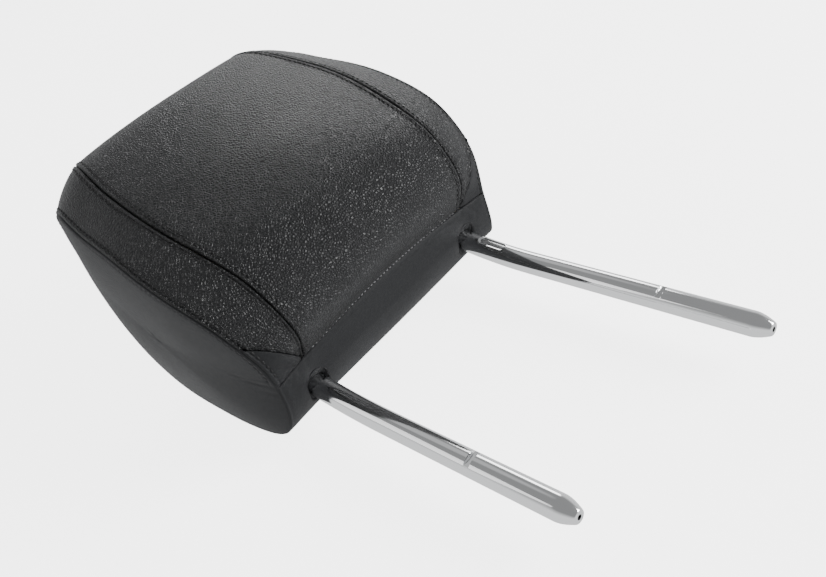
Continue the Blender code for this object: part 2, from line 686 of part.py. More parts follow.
def make_foams(parent):
    """Two mouldings that meet on the core's parting plane, hollowed for the core, the legs and the strips."""
    far = 400.0
    for name, low_b, high_b in (("rear_foam", -GAP / 2, far), ("front_foam", -far, GAP / 2)):
        block = foam_block(name, parent)
        half = core_box(name + "_half_cutter", (-far, -far, low_b), (far, far, high_b))
        boolean(block, half)
        pocket = core_box(name + "_pocket_cutter",
                          (-CORE_HALF_WIDTH - GAP, CORE_BOTTOM_A - GAP, CORE_REAR_B - GAP),
                          (CORE_HALF_WIDTH + GAP, CORE_TOP_A + GAP, CORE_FRONT_B + GAP))
        boolean(block, pocket)
        for side, label in ((-1, "left"), (1, "right")):
            x = side * POST_SPACING / 2
            tunnel = core_box(f"{name}_{label}_tunnel_cutter", (x - 10.0, -80.0, -13.5),
                              (x + 10.0, CORE_BOTTOM_A + 2.0, 15.0))
            boolean(block, tunnel)
        if name == "rear_foam":
            boolean(block, box(name + "_strip_cutter", *STRIP_CHANNEL))


def strip_place(u, v, w):
    """Point of a closure strip whose outline is drawn in y and z and runs along x."""
    return Vector((w, u, v))


def make_closure_strips(parent):
    """Hooked strips sewn to the cover's two edges, one caught in the other."""
    hook = [(18.0, 14.2), (27.4, 14.2), (27.4, 17.9), (24.4, 17.9), (24.4, 16.9), (26.2, 16.9), (26.2, 15.4),
            (18.0, 15.4)]
    catch = [(18.0, 16.0), (23.9, 16.0), (23.9, 15.8), (25.7, 15.8), (25.7, 16.5), (24.0, 16.5), (24.0, 17.4),
             (18.0, 17.4)]
    for name, outline in (("closure_hook_strip", hook), ("closure_catch_strip", catch)):
        shade(prism(name, outline, -STRIP_HALF_LENGTH, STRIP_HALF_LENGTH, strip_place,
                    black_plastic(), parent))


def level(station):
    """A panel edge that keeps to one station."""
    return lambda across: station


def strip_edge(across):
    """Station where the bolster strip starts: level with the inner seam's end, rising to the outer seam."""
    return STRIP_START * np.clip(across - 1, 0, 1)


def make_cover(parent):
    """The sewn cover, one solid sheet for each cut panel."""
    stations = (FRONT_START, FRONT_END, REAR_END, len(STATIONS))
    start, front_end, rear_end, round_loop = (level(station) for station in stations)
    seam = 0.012
    sleeve_panel("front_panel", start, front_end, -1 + seam, 1 - seam, 25, 13, grained_leather(), parent)
    sleeve_panel("rear_panel", front_end, rear_end, -2, 2, 17, 15, smooth_leather(), parent)
    bottom = sleeve_panel("bottom_panel", rear_end, round_loop, -2, 2, 7, 27, smooth_leather(), parent)
    for side, label in ((-1, "left"), (1, "right")):
        low, high = sorted((side * (1 + seam), side * 2.0))
        sleeve_panel(label + "_bolster_strip", strip_edge, front_end, low, high, 27, 9,
                     grained_leather(), parent)
        low, high = sorted((side * 1.14, side * 2.0))
        sleeve_panel(label + "_corner_piece", start, strip_edge, low, high, 6, 6, smooth_leather(), parent)
        gusset_panel(label + "_side_gusset", side, smooth_leather(), parent)
        boolean(bottom, post_slot(label, side * POST_SPACING / 2))
    return bottom


def post_slot(label, x):
    """Slot for a post in the bottom panel, as long as the tilt needs."""
    reach = CROSSBAR_FROM_BEND
    forward = POST_DIAMETER / 2 + SLOT_MARGIN + reach * math.sin(TILT_FORWARD)
    back = POST_DIAMETER / 2 + SLOT_MARGIN + reach * math.sin(TILT_BACK)
    flat = SLOT_HALF_WIDTH - SLOT_CORNER
    low, high = SLOT_CORNER - back, forward - SLOT_CORNER
    outline = [(SLOT_HALF_WIDTH, low), (SLOT_HALF_WIDTH, high), (flat, forward), (-flat, forward),
               (-SLOT_HALF_WIDTH, high), (-SLOT_HALF_WIDTH, low), (-flat, -back), (flat, -back)]
    return prism(label + "_slot_cutter", outline[::-1], -70.0, -30.0,
                 lambda u, v, w: CORE @ Vector((x + u, w, v)))


def main():
    clear_scene()
    tilt_axis = bpy.data.objects.new("head_tilt_axis", None)
    bpy.context.collection.objects.link(tilt_axis)
    tilt_axis.location = CORE.translation * MM
    bpy.context.view_layer.update()
    make_post_frame()
    make_stop_tab()
    make_bushes(tilt_axis)
    make_clamps(tilt_axis)
    make_core_shell("core_rear_shell", -GAP / 2, CORE_REAR_B, tilt_axis)
    make_core_shell("core_front_shell", GAP / 2, CORE_FRONT_B, tilt_axis)
    make_core_screws(tilt_axis)
    make_foams(tilt_axis)
    make_closure_strips(tilt_axis)
    make_cover(tilt_axis)


main()
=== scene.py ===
"""Leather head restraint on two chromed posts: the fine surfaces around its solid parts."""
import math

import bmesh
import bpy
import numpy as np
from mathutils import Matrix, Vector
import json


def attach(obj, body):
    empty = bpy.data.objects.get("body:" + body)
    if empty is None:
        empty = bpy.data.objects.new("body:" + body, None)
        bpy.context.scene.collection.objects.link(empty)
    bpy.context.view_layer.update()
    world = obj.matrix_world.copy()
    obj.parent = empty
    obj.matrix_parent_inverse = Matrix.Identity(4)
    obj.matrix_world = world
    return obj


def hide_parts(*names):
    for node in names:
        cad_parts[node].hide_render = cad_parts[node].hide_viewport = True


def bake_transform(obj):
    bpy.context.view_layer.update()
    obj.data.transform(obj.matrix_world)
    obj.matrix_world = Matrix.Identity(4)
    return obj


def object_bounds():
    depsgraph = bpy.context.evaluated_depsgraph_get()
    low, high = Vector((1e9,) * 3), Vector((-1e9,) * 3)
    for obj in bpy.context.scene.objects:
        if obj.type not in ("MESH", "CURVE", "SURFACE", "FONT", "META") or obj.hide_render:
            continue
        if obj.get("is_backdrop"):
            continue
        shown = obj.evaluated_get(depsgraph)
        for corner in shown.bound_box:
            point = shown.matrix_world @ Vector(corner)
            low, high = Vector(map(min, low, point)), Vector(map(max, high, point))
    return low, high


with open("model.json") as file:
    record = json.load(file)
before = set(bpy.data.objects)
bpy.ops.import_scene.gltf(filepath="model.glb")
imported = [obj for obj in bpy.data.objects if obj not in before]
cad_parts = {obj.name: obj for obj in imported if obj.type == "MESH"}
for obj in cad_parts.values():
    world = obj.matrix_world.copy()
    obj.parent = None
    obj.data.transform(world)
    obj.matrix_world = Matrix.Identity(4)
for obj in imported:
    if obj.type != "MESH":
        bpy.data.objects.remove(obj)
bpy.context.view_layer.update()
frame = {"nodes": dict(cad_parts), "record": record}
MM = 0.001

# ------------------------------------------------------------------------------------- the cushion's sections
# Stations round the cushion from the bottom seam, up the front, over the top and down the back, in mm:
# middle line (y, z), inner seam (x, y, z) and outer seam (x, y, z).
STATIONS = (
    ((5.5, 56.0), (72.5, 6.0, 51.0), (96.5, 4.5, 48.5)),
    ((-3.5, 75.0), (73.5, -2.5, 72.0), (98.5, 5.0, 66.0)),
    ((0.0, 95.0), (75.5, 3.5, 92.5), (102.5, 11.0, 83.0)),
    ((12.0, 113.0), (77.0, 16.0, 107.5), (106.5, 24.5, 98.5)),
    ((36.0, 127.5), (79.5, 38.5, 120.0), (110.0, 45.0, 111.0)),
    ((69.5, 139.5), (82.5, 71.5, 132.0), (110.5, 76.5, 122.5)),
    ((105.5, 149.0), (82.0, 106.5, 142.0), (108.5, 105.5, 129.5)),
    ((141.5, 156.0), (78.0, 141.5, 149.5), (105.5, 137.5, 133.5)),
    ((174.0, 156.5), (71.5, 174.0, 153.0), (100.5, 168.0, 136.5)),
    ((192.0, 147.0), (67.5, 191.5, 144.0), (97.5, 184.5, 128.0)),
    ((198.5, 126.0), (66.0, 197.0, 123.0), (97.0, 190.0, 111.0)),
    ((196.0, 92.0), (68.0, 194.0, 91.0), (100.0, 187.5, 86.0)),
    ((183.0, 53.0), (73.0, 181.5, 53.0), (104.0, 174.5, 52.0)),
    ((152.0, 18.0), (78.0, 151.5, 18.5), (107.0, 147.0, 22.0)),
    ((116.0, 2.0), (80.0, 115.5, 3.0), (108.0, 113.5, 9.0)),
    ((76.5, -1.0), (80.0, 76.5, 0.0), (107.5, 76.5, 6.0)),
    ((38.0, 1.5), (79.0, 38.0, 2.5), (105.0, 38.0, 5.0)),
    ((14.5, 10.5), (76.0, 14.5, 11.0), (100.5, 13.5, 10.5)),
    ((6.5, 27.0), (73.5, 6.5, 27.0), (97.5, 6.0, 27.0)),
)
BOTTOM_SEAM, STRIP_START, TOP_SEAM, REAR_SEAM, ROUND = 0.0, 2.0, 10.4, 17.0, 19.0
GUSSET_CENTRE = np.array((114.0, 92.0, 70.0))
REST_LEVEL = 0.0                   # the back rests on this height
SWELL_START = 0.4                  # the cover starts this far inside its full shape and then swells
SWELL_LIMIT = 1.4                  # most that the padding pushes a point
AIR_PRESSURE, SWELL_FRAMES = 45.0, 20
LEATHER_THICKNESS = 1.3
ROW_OFFSET = 3.5                   # stitch rows lie this far on each side of a twin seam
STITCH_PITCH, STITCH_LENGTH, THREAD_RADIUS = 4.2, 3.0, 0.5

# The posts, in mm
POST_RADIUS, POST_X, POST_Z = 7.0, 71.5, 21.5
TIP_Y = {"left": -173.5, "right": -198.5}
BEND_START_Y, BEND_ANGLE, BEND_RADIUS = -45.5, math.radians(9.0), 320.0
TO_CROSSBAR, CORNER_RADIUS = 52.0, 20.0
TIP_DEPTHS = (0, 0.15, 0.5, 1.2, 2.2, 3.4, 4.8, 6.2, 7.6, 8.6, 9.4, 10.2, 11.5)
TIP_RADII = (3.5, 3.72, 3.95, 4.3, 4.75, 5.25, 5.78, 6.22, 6.58, 6.78, 6.9, 6.97, 7.0)
NOTCH_FROM_TIP, NOTCH_WIDTH, NOTCH_DEPTH = 63.0, 4.0, 2.0
STAMP_Y, STAMP_LENGTH, STAMP_WIDTH, STAMP_DEPTH = -15.0, 20.0, 5.0, 0.7


def closed_curve(knots, values, where):
    """Closed cubic spline: its second derivatives solve the tridiagonal system that joins the cubics."""
    count, step = len(values), np.diff(knots)
    index = np.arange(count)
    before, after = step[index - 1], step
    matrix = np.zeros((count, count))
    matrix[index, index - 1] += before
    matrix[index, index] += 2 * (before + after)
    matrix[index, (index + 1) % count] += after
    slope = (np.roll(values, -1, axis=0) - values) / after[:, None]
    bend = np.linalg.solve(matrix, 6 * (slope - np.roll(slope, 1, axis=0)))
    where = np.mod(where, knots[-1])
    cell = np.clip(np.searchsorted(knots, where, side="right") - 1, 0, count - 1)
    ahead = (cell + 1) % count
    width, right = step[cell][..., None], (where - knots[cell])[..., None]
    left = width - right
    return ((bend[cell] * left ** 3 + bend[ahead] * right ** 3) / (6 * width)
            + (values[cell] / width - bend[cell] * width / 6) * left
            + (values[ahead] / width - bend[ahead] * width / 6) * right)


MIDDLE = np.array([(0.0, *m) for m, _, _ in STATIONS])
INNER = np.array([i for _, i, _ in STATIONS], float)
OUTER = np.array([o for _, _, o in STATIONS], float)
INNER_LOOP = np.vstack([INNER, INNER[:1]])
KNOTS = np.concatenate([[0.0], np.cumsum(np.linalg.norm(np.diff(INNER_LOOP, axis=0), axis=1))])


def at_station(station):
    """Length round the section of a station number."""
    return np.interp(station, np.arange(len(KNOTS)), KNOTS)


def sleeve(along, across):
    """Point of the cover before it swells: one parabola from the middle to the inner seam at across 1, and a
    second one from there to the outer seam at across 2, never lower than the surface it rests on."""
    along, across = np.broadcast_arrays(np.asarray(along, float), np.asarray(across, float))
    middle, inner, outer = (closed_curve(KNOTS, table, along) for table in (MIDDLE, INNER, OUTER))
    side = np.abs(across)[..., None]
    near = middle + (inner - middle) * side ** 2
    near[..., 0] = inner[..., 0] * side[..., 0]
    reach = (outer[..., 0] - inner[..., 0])[..., None]
    chord = (outer - inner) / reach
    start = 0.5 * (2 * (inner - middle) / inner[..., :1] + chord)
    run = (side - 1) * reach
    far = inner + start * run + (chord - start) / reach * run ** 2
    far[..., 0] = inner[..., 0] + run[..., 0]
    point = np.where(side <= 1, near, far)
    point[..., 0] *= np.where(across < 0, -1.0, 1.0)
    point[..., 2] = np.maximum(point[..., 2], REST_LEVEL)
    return point


def dome(along, ring, side):
    """Point of the side gusset: the outer seam drawn in to its centre by ring, swelling out as a paraboloid."""
    outer = closed_curve(KNOTS, OUTER, np.asarray(along, float))
    ring = np.asarray(ring, float)[..., None]
    point = GUSSET_CENTRE + (outer - GUSSET_CENTRE) * ring
    point[..., 0] = outer[..., 0] + (GUSSET_CENTRE[0] - outer[..., 0]) * (1 - ring[..., 0] ** 2)
    point[..., 0] *= side
    point[..., 2] = np.maximum(point[..., 2], REST_LEVEL)
    return point


def normals_of(grid):
    """Unit normals of a grid of points: the cross product of its two directions' differences."""
    normal = np.cross(np.gradient(grid, axis=1), np.gradient(grid, axis=0))
    return normal / np.maximum(np.linalg.norm(normal, axis=-1, keepdims=True), 1e-9)


# ---------------------------------------------------------------------------------------------- mesh helpers

def new_mesh_object(name, points, faces, finish=None, smooth=True):
    """An object at the origin whose mesh holds the points, given in millimetres."""
    mesh = bpy.data.meshes.new(name)
    mesh.from_pydata((np.asarray(points) * MM).tolist(), [], faces)
    mesh.update()
    made = bpy.data.objects.new(name, mesh)
    bpy.context.scene.collection.objects.link(made)
    if smooth:
        mesh.shade_smooth()
    if finish is not None:
        mesh.materials.append(finish)
    return made


def grid_quads(rows, columns, closed_rows=False):
    """Corner numbers of a grid's quads as an array; closed_rows joins the last row to the first."""
    row = np.arange(rows if closed_rows else rows - 1)[:, None]
    column = np.arange(columns - 1)[None, :]
    here, ahead = row * columns + column, ((row + 1) % rows) * columns + column
    return np.stack([here, here + 1, ahead + 1, ahead], axis=-1).reshape(-1, 4)


def spaced(length, coarse, fine=0.4, margin=5.5):
    """Shares 0 to 1 along a length, close together within a margin of both ends."""
    edge = np.linspace(0, margin, int(round(margin / fine)) + 1)
    inside = np.linspace(margin, length - margin, max(2, int((length - 2 * margin) / coarse)) + 1)
    return np.concatenate([edge[:-1], inside, (length - edge[::-1])[1:]]) / length


def wall(item, thickness):
    """Gives a panel its leather's thickness, inwards."""
    solid = item.modifiers.new("leather_thickness", "SOLIDIFY")
    solid.thickness, solid.offset = thickness * MM, -1.0
    solid.use_rim = True
    return item


# ------------------------------------------------------------------------------- padding: the swelling cover

FRONT_ROWS, REAR_ROWS, BOTTOM_ROWS = 110, 56, 16
ROW_STATIONS = np.concatenate([
    np.linspace(BOTTOM_SEAM, TOP_SEAM, FRONT_ROWS + 1)[:-1],
    np.linspace(TOP_SEAM, REAR_SEAM, REAR_ROWS + 1)[:-1],
    np.linspace(REAR_SEAM, ROUND, BOTTOM_ROWS + 1)[:-1]])
ROW_ALONG = at_station(ROW_STATIONS)
RINGS = np.array((0.08, 0.16, 0.26, 0.36, 0.46, 0.56, 0.65, 0.73, 0.80, 0.86, 0.91, 0.955))
SIDE_COLUMNS, MIDDLE_COLUMNS = 10, 36
COLUMN_ACROSS = np.concatenate([
    np.linspace(-2, -1, SIDE_COLUMNS + 1)[:-1],
    np.linspace(-1, 1, MIDDLE_COLUMNS + 1)[:-1],
    np.linspace(1, 2, SIDE_COLUMNS + 1)])
GRID_COLUMNS = len(RINGS) * 2 + len(COLUMN_ACROSS)
OUTER_LEFT = len(RINGS)                         # the grid's columns that lie on the seams
INNER_LEFT = OUTER_LEFT + SIDE_COLUMNS
INNER_RIGHT = INNER_LEFT + MIDDLE_COLUMNS
OUTER_RIGHT = INNER_RIGHT + SIDE_COLUMNS


def coarse_cover():
    """The whole cover as one grid: left gusset rings from its centre out, the sleeve, right gusset rings in."""
    along = ROW_ALONG[:, None]
    left = dome(np.broadcast_to(along, (len(ROW_ALONG), len(RINGS))), RINGS[None, :], -1)
    right = dome(np.broadcast_to(along, (len(ROW_ALONG), len(RINGS))), RINGS[None, ::-1], 1)
    return np.concatenate([left, sleeve(along, COLUMN_ACROSS[None, :]), right], axis=1)


def seam_weights():
    """1 on the sewn lines, which hold the cover in, and 0 between them."""
    held = np.zeros((len(ROW_ALONG), GRID_COLUMNS))
    for column in (OUTER_LEFT, OUTER_RIGHT):
        held[:, column] = 1
    for column in (INNER_LEFT, INNER_RIGHT):
        held[ROW_STATIONS <= TOP_SEAM, column] = 1
    for row in (0, FRONT_ROWS, FRONT_ROWS + REAR_ROWS):
        held[row, OUTER_LEFT:OUTER_RIGHT + 1] = 1
    return held


def simulate_swelling():
    """Blows the sewn cover up with air against its stitched lines, and returns how far each point moves."""
    full = coarse_cover()
    rows, columns = full.shape[:2]
    held = seam_weights()
    normal = normals_of(np.concatenate([full[-2:], full, full[:2]], axis=0))[2:-2]
    loose = 1 - held
    for _ in range(4):
        loose = np.minimum(loose, 0.25 * (2 * loose + np.roll(loose, 1, 0) + np.roll(loose, -1, 0)))
    start = full - normal * (SWELL_START * loose)[..., None]
    poles = np.vstack([start[:, 0].mean(0), start[:, -1].mean(0)])
    points = np.vstack([start.reshape(-1, 3), poles])
    ring = np.arange(rows)
    left_fan = np.stack([np.full(rows, rows * columns), ring * columns, (ring + 1) % rows * columns], axis=1)
    right_fan = np.stack([np.full(rows, rows * columns + 1), (ring + 1) % rows * columns + columns - 1,
                          ring * columns + columns - 1], axis=1)
    faces = grid_quads(rows, columns, True).tolist() + left_fan.tolist() + right_fan.tolist()
    cover = new_mesh_object("swelling_cover", points, faces)
    pins = cover.vertex_groups.new(name="sewn")
    pins.add(np.flatnonzero(held.reshape(-1)).tolist(), 1.0, "REPLACE")
    cloth = cover.modifiers.new("air", "CLOTH")
    settings = cloth.settings
    settings.quality = 6
    settings.mass = 0.3
    settings.tension_stiffness = settings.compression_stiffness = 18
    settings.shear_stiffness = 8
    settings.bending_stiffness = 1.2
    settings.air_damping = 2
    settings.use_pressure = True
    settings.uniform_pressure_force = AIR_PRESSURE
    settings.vertex_group_mass = "sewn"
    settings.effector_weights.gravity = 0
    cloth.point_cache.frame_start, cloth.point_cache.frame_end = 1, SWELL_FRAMES
    scene = bpy.context.scene
    for step in range(1, SWELL_FRAMES + 1):
        scene.frame_set(step)
    moved = np.zeros(len(points) * 3, np.float32)
    evaluated = cover.evaluated_get(bpy.context.evaluated_depsgraph_get())
    evaluated.data.vertices.foreach_get("co", moved)
    bpy.data.objects.remove(cover)
    scene.frame_set(1)
    swelling = moved.reshape(-1, 3)[:-2].reshape(rows, columns, 3) / MM - start
    size = np.linalg.norm(swelling, axis=-1, keepdims=True)
    print("swelling mm: mean", float(size.mean()), "max", float(size.max()))
    swelling *= np.minimum(1, SWELL_LIMIT / np.maximum(size, 1e-9))
    return (swelling * normal).sum(-1) - SWELL_START * loose


SWELLING = simulate_swelling()


def smooth_sample(table, row, column):
    """Cubic (Catmull-Rom) reading of a table at fractional rows, which wrap round, and columns, which stop."""
    rows, columns = table.shape
    base_row, base_column = np.floor(row).astype(int), np.floor(column).astype(int)

    def shares(t):
        """Shares of the four neighbours at a fraction t between the middle two."""
        return ((-t + 2 * t ** 2 - t ** 3) / 2, (2 - 5 * t ** 2 + 3 * t ** 3) / 2,
                (t + 4 * t ** 2 - 3 * t ** 3) / 2, (t ** 3 - t ** 2) / 2)

    total = 0.0
    for i, row_share in enumerate(shares(row - base_row)):
        line = 0.0
        for j, column_share in enumerate(shares(column - base_column)):
            at_column = np.clip(base_column + j - 1, 0, columns - 1)
            line = line + table[(base_row + i - 1) % rows, at_column] * column_share
        total = total + line * row_share
    return total


def swelling_at(along, column):
    """How far the padding pushes the cover out at a length round the section and a grid column."""
    along = np.mod(along, KNOTS[-1])
    row = np.interp(along, np.append(ROW_ALONG, KNOTS[-1]), np.arange(len(ROW_ALONG) + 1))
    return smooth_sample(SWELLING, row, column)


def sleeve_column(across):
    """Grid column of an across value."""
    return len(RINGS) + np.interp(across, COLUMN_ACROSS, np.arange(len(COLUMN_ACROSS)))


def gusset_column(ring, side):
    """Column of a ring: rings run out from the left centre, and in to the right one."""
    place = np.interp(ring, np.append(RINGS, 1.0), np.arange(len(RINGS) + 1))
    return place if side < 0 else SWELLING.shape[1] - 1 - place


# ------------------------------------------------------------------------------------------------ finishes

def node_tree(name):
    """A new finish with its node tree and surface shader."""
    finish = bpy.data.materials.new(name)
    finish.use_nodes = True
    tree = finish.node_tree
    return finish, tree, tree.nodes["Principled BSDF"]


def object_place(tree, scale=(1, 1, 1)):
    """Object coordinates through a Mapping node."""
    place = tree.nodes.new("ShaderNodeTexCoord")
    turn = tree.nodes.new("ShaderNodeMapping")
    turn.inputs["Scale"].default_value = scale
    tree.links.new(place.outputs["Object"], turn.inputs["Vector"])
    return turn.outputs["Vector"]


def noise(tree, place, scale, detail=3.0, roughness=0.5):
    """Soft random noise, scale to the metre."""
    made = tree.nodes.new("ShaderNodeTexNoise")
    made.inputs["Scale"].default_value = scale
    made.inputs["Detail"].default_value = detail
    made.inputs["Roughness"].default_value = roughness
    tree.links.new(place, made.inputs["Vector"])
    return made


def ramp(tree, value, low, high, out_low=0.0, out_high=1.0):
    """Straight-line change of a value from one range into another."""
    made = tree.nodes.new("ShaderNodeMapRange")
    for name, number in (("From Min", low), ("From Max", high), ("To Min", out_low), ("To Max", out_high)):
        made.inputs[name].default_value = number
    tree.links.new(value, made.inputs["Value"])
    return made.outputs["Result"]


def calc(tree, operation, first, second):
    """One sum on two numbers or sockets."""
    made = tree.nodes.new("ShaderNodeMath")
    made.operation = operation
    for socket, value in zip(made.inputs, (first, second)):
        if isinstance(value, (int, float)):
            socket.default_value = value
        else:
            tree.links.new(value, socket)
    return made.outputs[0]


def blend_colours(tree, share, first, second):
    """A colour between two, by share."""
    made = tree.nodes.new("ShaderNodeMix")
    made.data_type = "RGBA"
    made.inputs["A"].default_value = (*first, 1)
    made.inputs["B"].default_value = (*second, 1)
    tree.links.new(share, made.inputs["Factor"])
    return made.outputs["Result"]


def bump(tree, height, distance, strength, before=None):
    """Shading relief of a height in metres, on top of an earlier one."""
    made = tree.nodes.new("ShaderNodeBump")
    made.inputs["Distance"].default_value = distance
    made.inputs["Strength"].default_value = strength
    tree.links.new(height, made.inputs["Height"])
    if before is not None:
        tree.links.new(before, made.inputs["Normal"])
    return made.outputs["Normal"]


def warped(tree, place, scale, amount):
    """Coordinates pushed about by noise, so that cells lose their straight walls."""
    push = noise(tree, place, scale, 2.0)
    centred = tree.nodes.new("ShaderNodeVectorMath")
    centred.operation = "SUBTRACT"
    tree.links.new(push.outputs["Color"], centred.inputs[0])
    centred.inputs[1].default_value = (0.5, 0.5, 0.5)
    sized = tree.nodes.new("ShaderNodeVectorMath")
    sized.operation = "SCALE"
    sized.inputs["Scale"].default_value = amount
    tree.links.new(centred.outputs["Vector"], sized.inputs[0])
    moved = tree.nodes.new("ShaderNodeVectorMath")
    tree.links.new(place, moved.inputs[0])
    tree.links.new(sized.outputs["Vector"], moved.inputs[1])
    return moved.outputs["Vector"]


def pebbled_leather(name, dark, light, cell, depth, roughness, shine):
    """Leather: rounded pebbles between creases with painted shade in them, small pores on the pebbles, a slow
    change of tone and sheen.
    """
    finish, tree, surface = node_tree(name)
    place = object_place(tree)
    bent = warped(tree, place, 0.35 / cell, 0.9 * cell)
    cells = tree.nodes.new("ShaderNodeTexVoronoi")
    cells.feature = "DISTANCE_TO_EDGE"
    cells.inputs["Scale"].default_value = 1 / cell
    tree.links.new(bent, cells.inputs["Vector"])
    pebble = ramp(tree, cells.outputs["Distance"], 0.0, 0.34)
    pebble = calc(tree, "POWER", pebble, 0.55)
    small = tree.nodes.new("ShaderNodeTexVoronoi")
    small.feature = "SMOOTH_F1"
    small.inputs["Scale"].default_value = 2.6 / cell
    tree.links.new(bent, small.inputs["Vector"])
    patch = noise(tree, place, 22.0, 2.0)
    strength = ramp(tree, patch.outputs["Fac"], 0.3, 0.7, 0.65, 1.0)
    tall = calc(tree, "MULTIPLY", pebble, strength)
    fine = noise(tree, place, 2600.0, 3.0, 0.6)
    normal = bump(tree, tall, depth, 1.0)
    normal = bump(tree, small.outputs["Distance"], depth * 0.35, 0.6, normal)
    normal = bump(tree, fine.outputs["Fac"], 0.00003, 0.5, normal)
    tree.links.new(normal, surface.inputs["Normal"])
    tone = noise(tree, place, 9.0, 3.0)
    # Painted shade: the colour darkens in the creases between pebbles and is lighter on their tops, times a slow
    # random change of tone.
    crease_shade_and_tone = calc(tree, "MULTIPLY", ramp(tree, pebble, 0.0, 0.75, 0.25, 1.0),
                  ramp(tree, tone.outputs["Fac"], 0.3, 0.7, 0.75, 1.0))
    tree.links.new(blend_colours(tree, crease_shade_and_tone, dark, light), surface.inputs["Base Color"])
    sheen = calc(tree, "ADD", ramp(tree, tone.outputs["Fac"], 0.3, 0.7, roughness - 0.04, roughness + 0.05),
                 ramp(tree, pebble, 0.0, 1.0, 0.10, 0.0))
    tree.links.new(sheen, surface.inputs["Roughness"])
    surface.inputs["Specular IOR Level"].default_value = shine
    return finish


GRAINED = pebbled_leather("grained_leather", dark=(0.003, 0.0031, 0.0034), light=(0.014, 0.0145, 0.0155),
                          cell=0.0017, depth=0.0007, roughness=0.36, shine=0.45)
SMOOTH = pebbled_leather("smooth_leather", dark=(0.012, 0.0125, 0.0135), light=(0.021, 0.0215, 0.023),
                         cell=0.0009, depth=0.00012, roughness=0.44, shine=0.2)


def chrome_plate():
    """Bright plate: faint cloudiness in its gloss and hairline drawing marks along the tube."""
    finish, tree, surface = node_tree("chrome")
    place = object_place(tree, (1, 0.04, 1))
    marks = noise(tree, place, 2200.0, 2.0)
    cloud = noise(tree, object_place(tree), 60.0, 3.0)
    surface.inputs["Base Color"].default_value = (0.90, 0.905, 0.91, 1)
    surface.inputs["Metallic"].default_value = 1.0
    tree.links.new(ramp(tree, cloud.outputs["Fac"], 0.3, 0.7, 0.05, 0.13), surface.inputs["Roughness"])
    normal = bump(tree, marks.outputs["Fac"], 0.000004, 0.5)
    normal = bump(tree, noise(tree, object_place(tree), 55.0, 2.0).outputs["Fac"], 0.00012, 0.35, normal)
    tree.links.new(normal, surface.inputs["Normal"])
    return finish


def plain_metal(name, colour, roughness, grain):
    """Metal with a cloudy tone and gloss."""
    finish, tree, surface = node_tree(name)
    cloud = noise(tree, object_place(tree), grain, 3.0)
    surface.inputs["Metallic"].default_value = 1.0
    dark = tuple(c * 0.8 for c in colour)
    tree.links.new(blend_colours(tree, cloud.outputs["Fac"], dark, colour), surface.inputs["Base Color"])
    tree.links.new(ramp(tree, cloud.outputs["Fac"], 0.3, 0.7, roughness - 0.08, roughness + 0.08),
                   surface.inputs["Roughness"])
    tree.links.new(bump(tree, cloud.outputs["Fac"], 0.00002, 0.4), surface.inputs["Normal"])
    return finish


def moulded(name, colour, roughness):
    """Moulded plastic: spark-eroded texture and a little change in gloss."""
    finish, tree, surface = node_tree(name)
    grit = noise(tree, object_place(tree), 1800.0, 3.0, 0.6)
    cloud = noise(tree, object_place(tree), 45.0, 2.0)
    light = tuple(min(1.0, c * 1.15 + 0.004) for c in colour)
    tree.links.new(blend_colours(tree, cloud.outputs["Fac"], colour, light), surface.inputs["Base Color"])
    tree.links.new(ramp(tree, cloud.outputs["Fac"], 0.3, 0.7, roughness - 0.05, roughness + 0.05),
                   surface.inputs["Roughness"])
    tree.links.new(bump(tree, grit.outputs["Fac"], 0.00004, 0.5), surface.inputs["Normal"])
    return finish


def open_foam():
    """Moulded foam: a skin with open pores and a warm, uneven yellow."""
    finish, tree, surface = node_tree("foam")
    place = object_place(tree)
    pores = tree.nodes.new("ShaderNodeTexVoronoi")
    pores.inputs["Scale"].default_value = 900.0
    tree.links.new(place, pores.inputs["Vector"])
    tone = noise(tree, place, 18.0, 3.0)
    tree.links.new(blend_colours(tree, tone.outputs["Fac"], (0.42, 0.38, 0.27), (0.62, 0.58, 0.45)),
                   surface.inputs["Base Color"])
    surface.inputs["Roughness"].default_value = 0.92
    tree.links.new(bump(tree, pores.outputs["Distance"], 0.0005, 0.8), surface.inputs["Normal"])
    return finish


def thread_finish(name, dark, light):
    """Bonded sewing thread: a fine twist of lighter and darker plies."""
    finish, tree, surface = node_tree(name)
    ply = noise(tree, object_place(tree), 3200.0, 2.0)
    tree.links.new(blend_colours(tree, ply.outputs["Fac"], dark, light), surface.inputs["Base Color"])
    surface.inputs["Roughness"].default_value = 0.5
    tree.links.new(bump(tree, ply.outputs["Fac"], 0.00005, 0.7), surface.inputs["Normal"])
    return finish


CHROME = chrome_plate()
STEEL = plain_metal("spring_steel", (0.40, 0.40, 0.42), 0.34, 300.0)
ZINC = plain_metal("zinc_plate", (0.66, 0.66, 0.62), 0.30, 500.0)
ACETAL = moulded("acetal", (0.78, 0.78, 0.74), 0.38)
BLACK_PLASTIC = moulded("black_plastic", (0.018, 0.018, 0.019), 0.42)
FOAM = open_foam()
DARK_THREAD = thread_finish("dark_thread", (0.002, 0.002, 0.002), (0.012, 0.012, 0.013))
GREY_THREAD = thread_finish("grey_thread", (0.12, 0.12, 0.125), (0.28, 0.28, 0.29))

# ----------------------------------------------------------------------------------------- leather panels

def seam_dip(distance, kind, run):
    """Height over the panel near a seam: it tucks in at the edge as a bell curve; a twin seam adds a low
    welt beside the edge and a groove under the stitch row that pulls in deeper at every needle hole."""
    if kind == "none":
        return 0.0
    tuck = -1.6 * np.exp(-(distance / 0.5) ** 2)
    if kind == "plain":
        return tuck - 0.25 * np.exp(-(distance / 3.0) ** 2)
    welt = 0.30 * np.exp(-((distance - 1.9) / 0.9) ** 2)
    pull = 0.6 + 0.4 * np.cos(2 * np.pi * run / STITCH_PITCH)
    groove = -0.5 * np.exp(-((distance - ROW_OFFSET) / 0.65) ** 2) * pull
    return tuck + welt + groove - 0.25 * np.exp(-(distance / 6.0) ** 2)


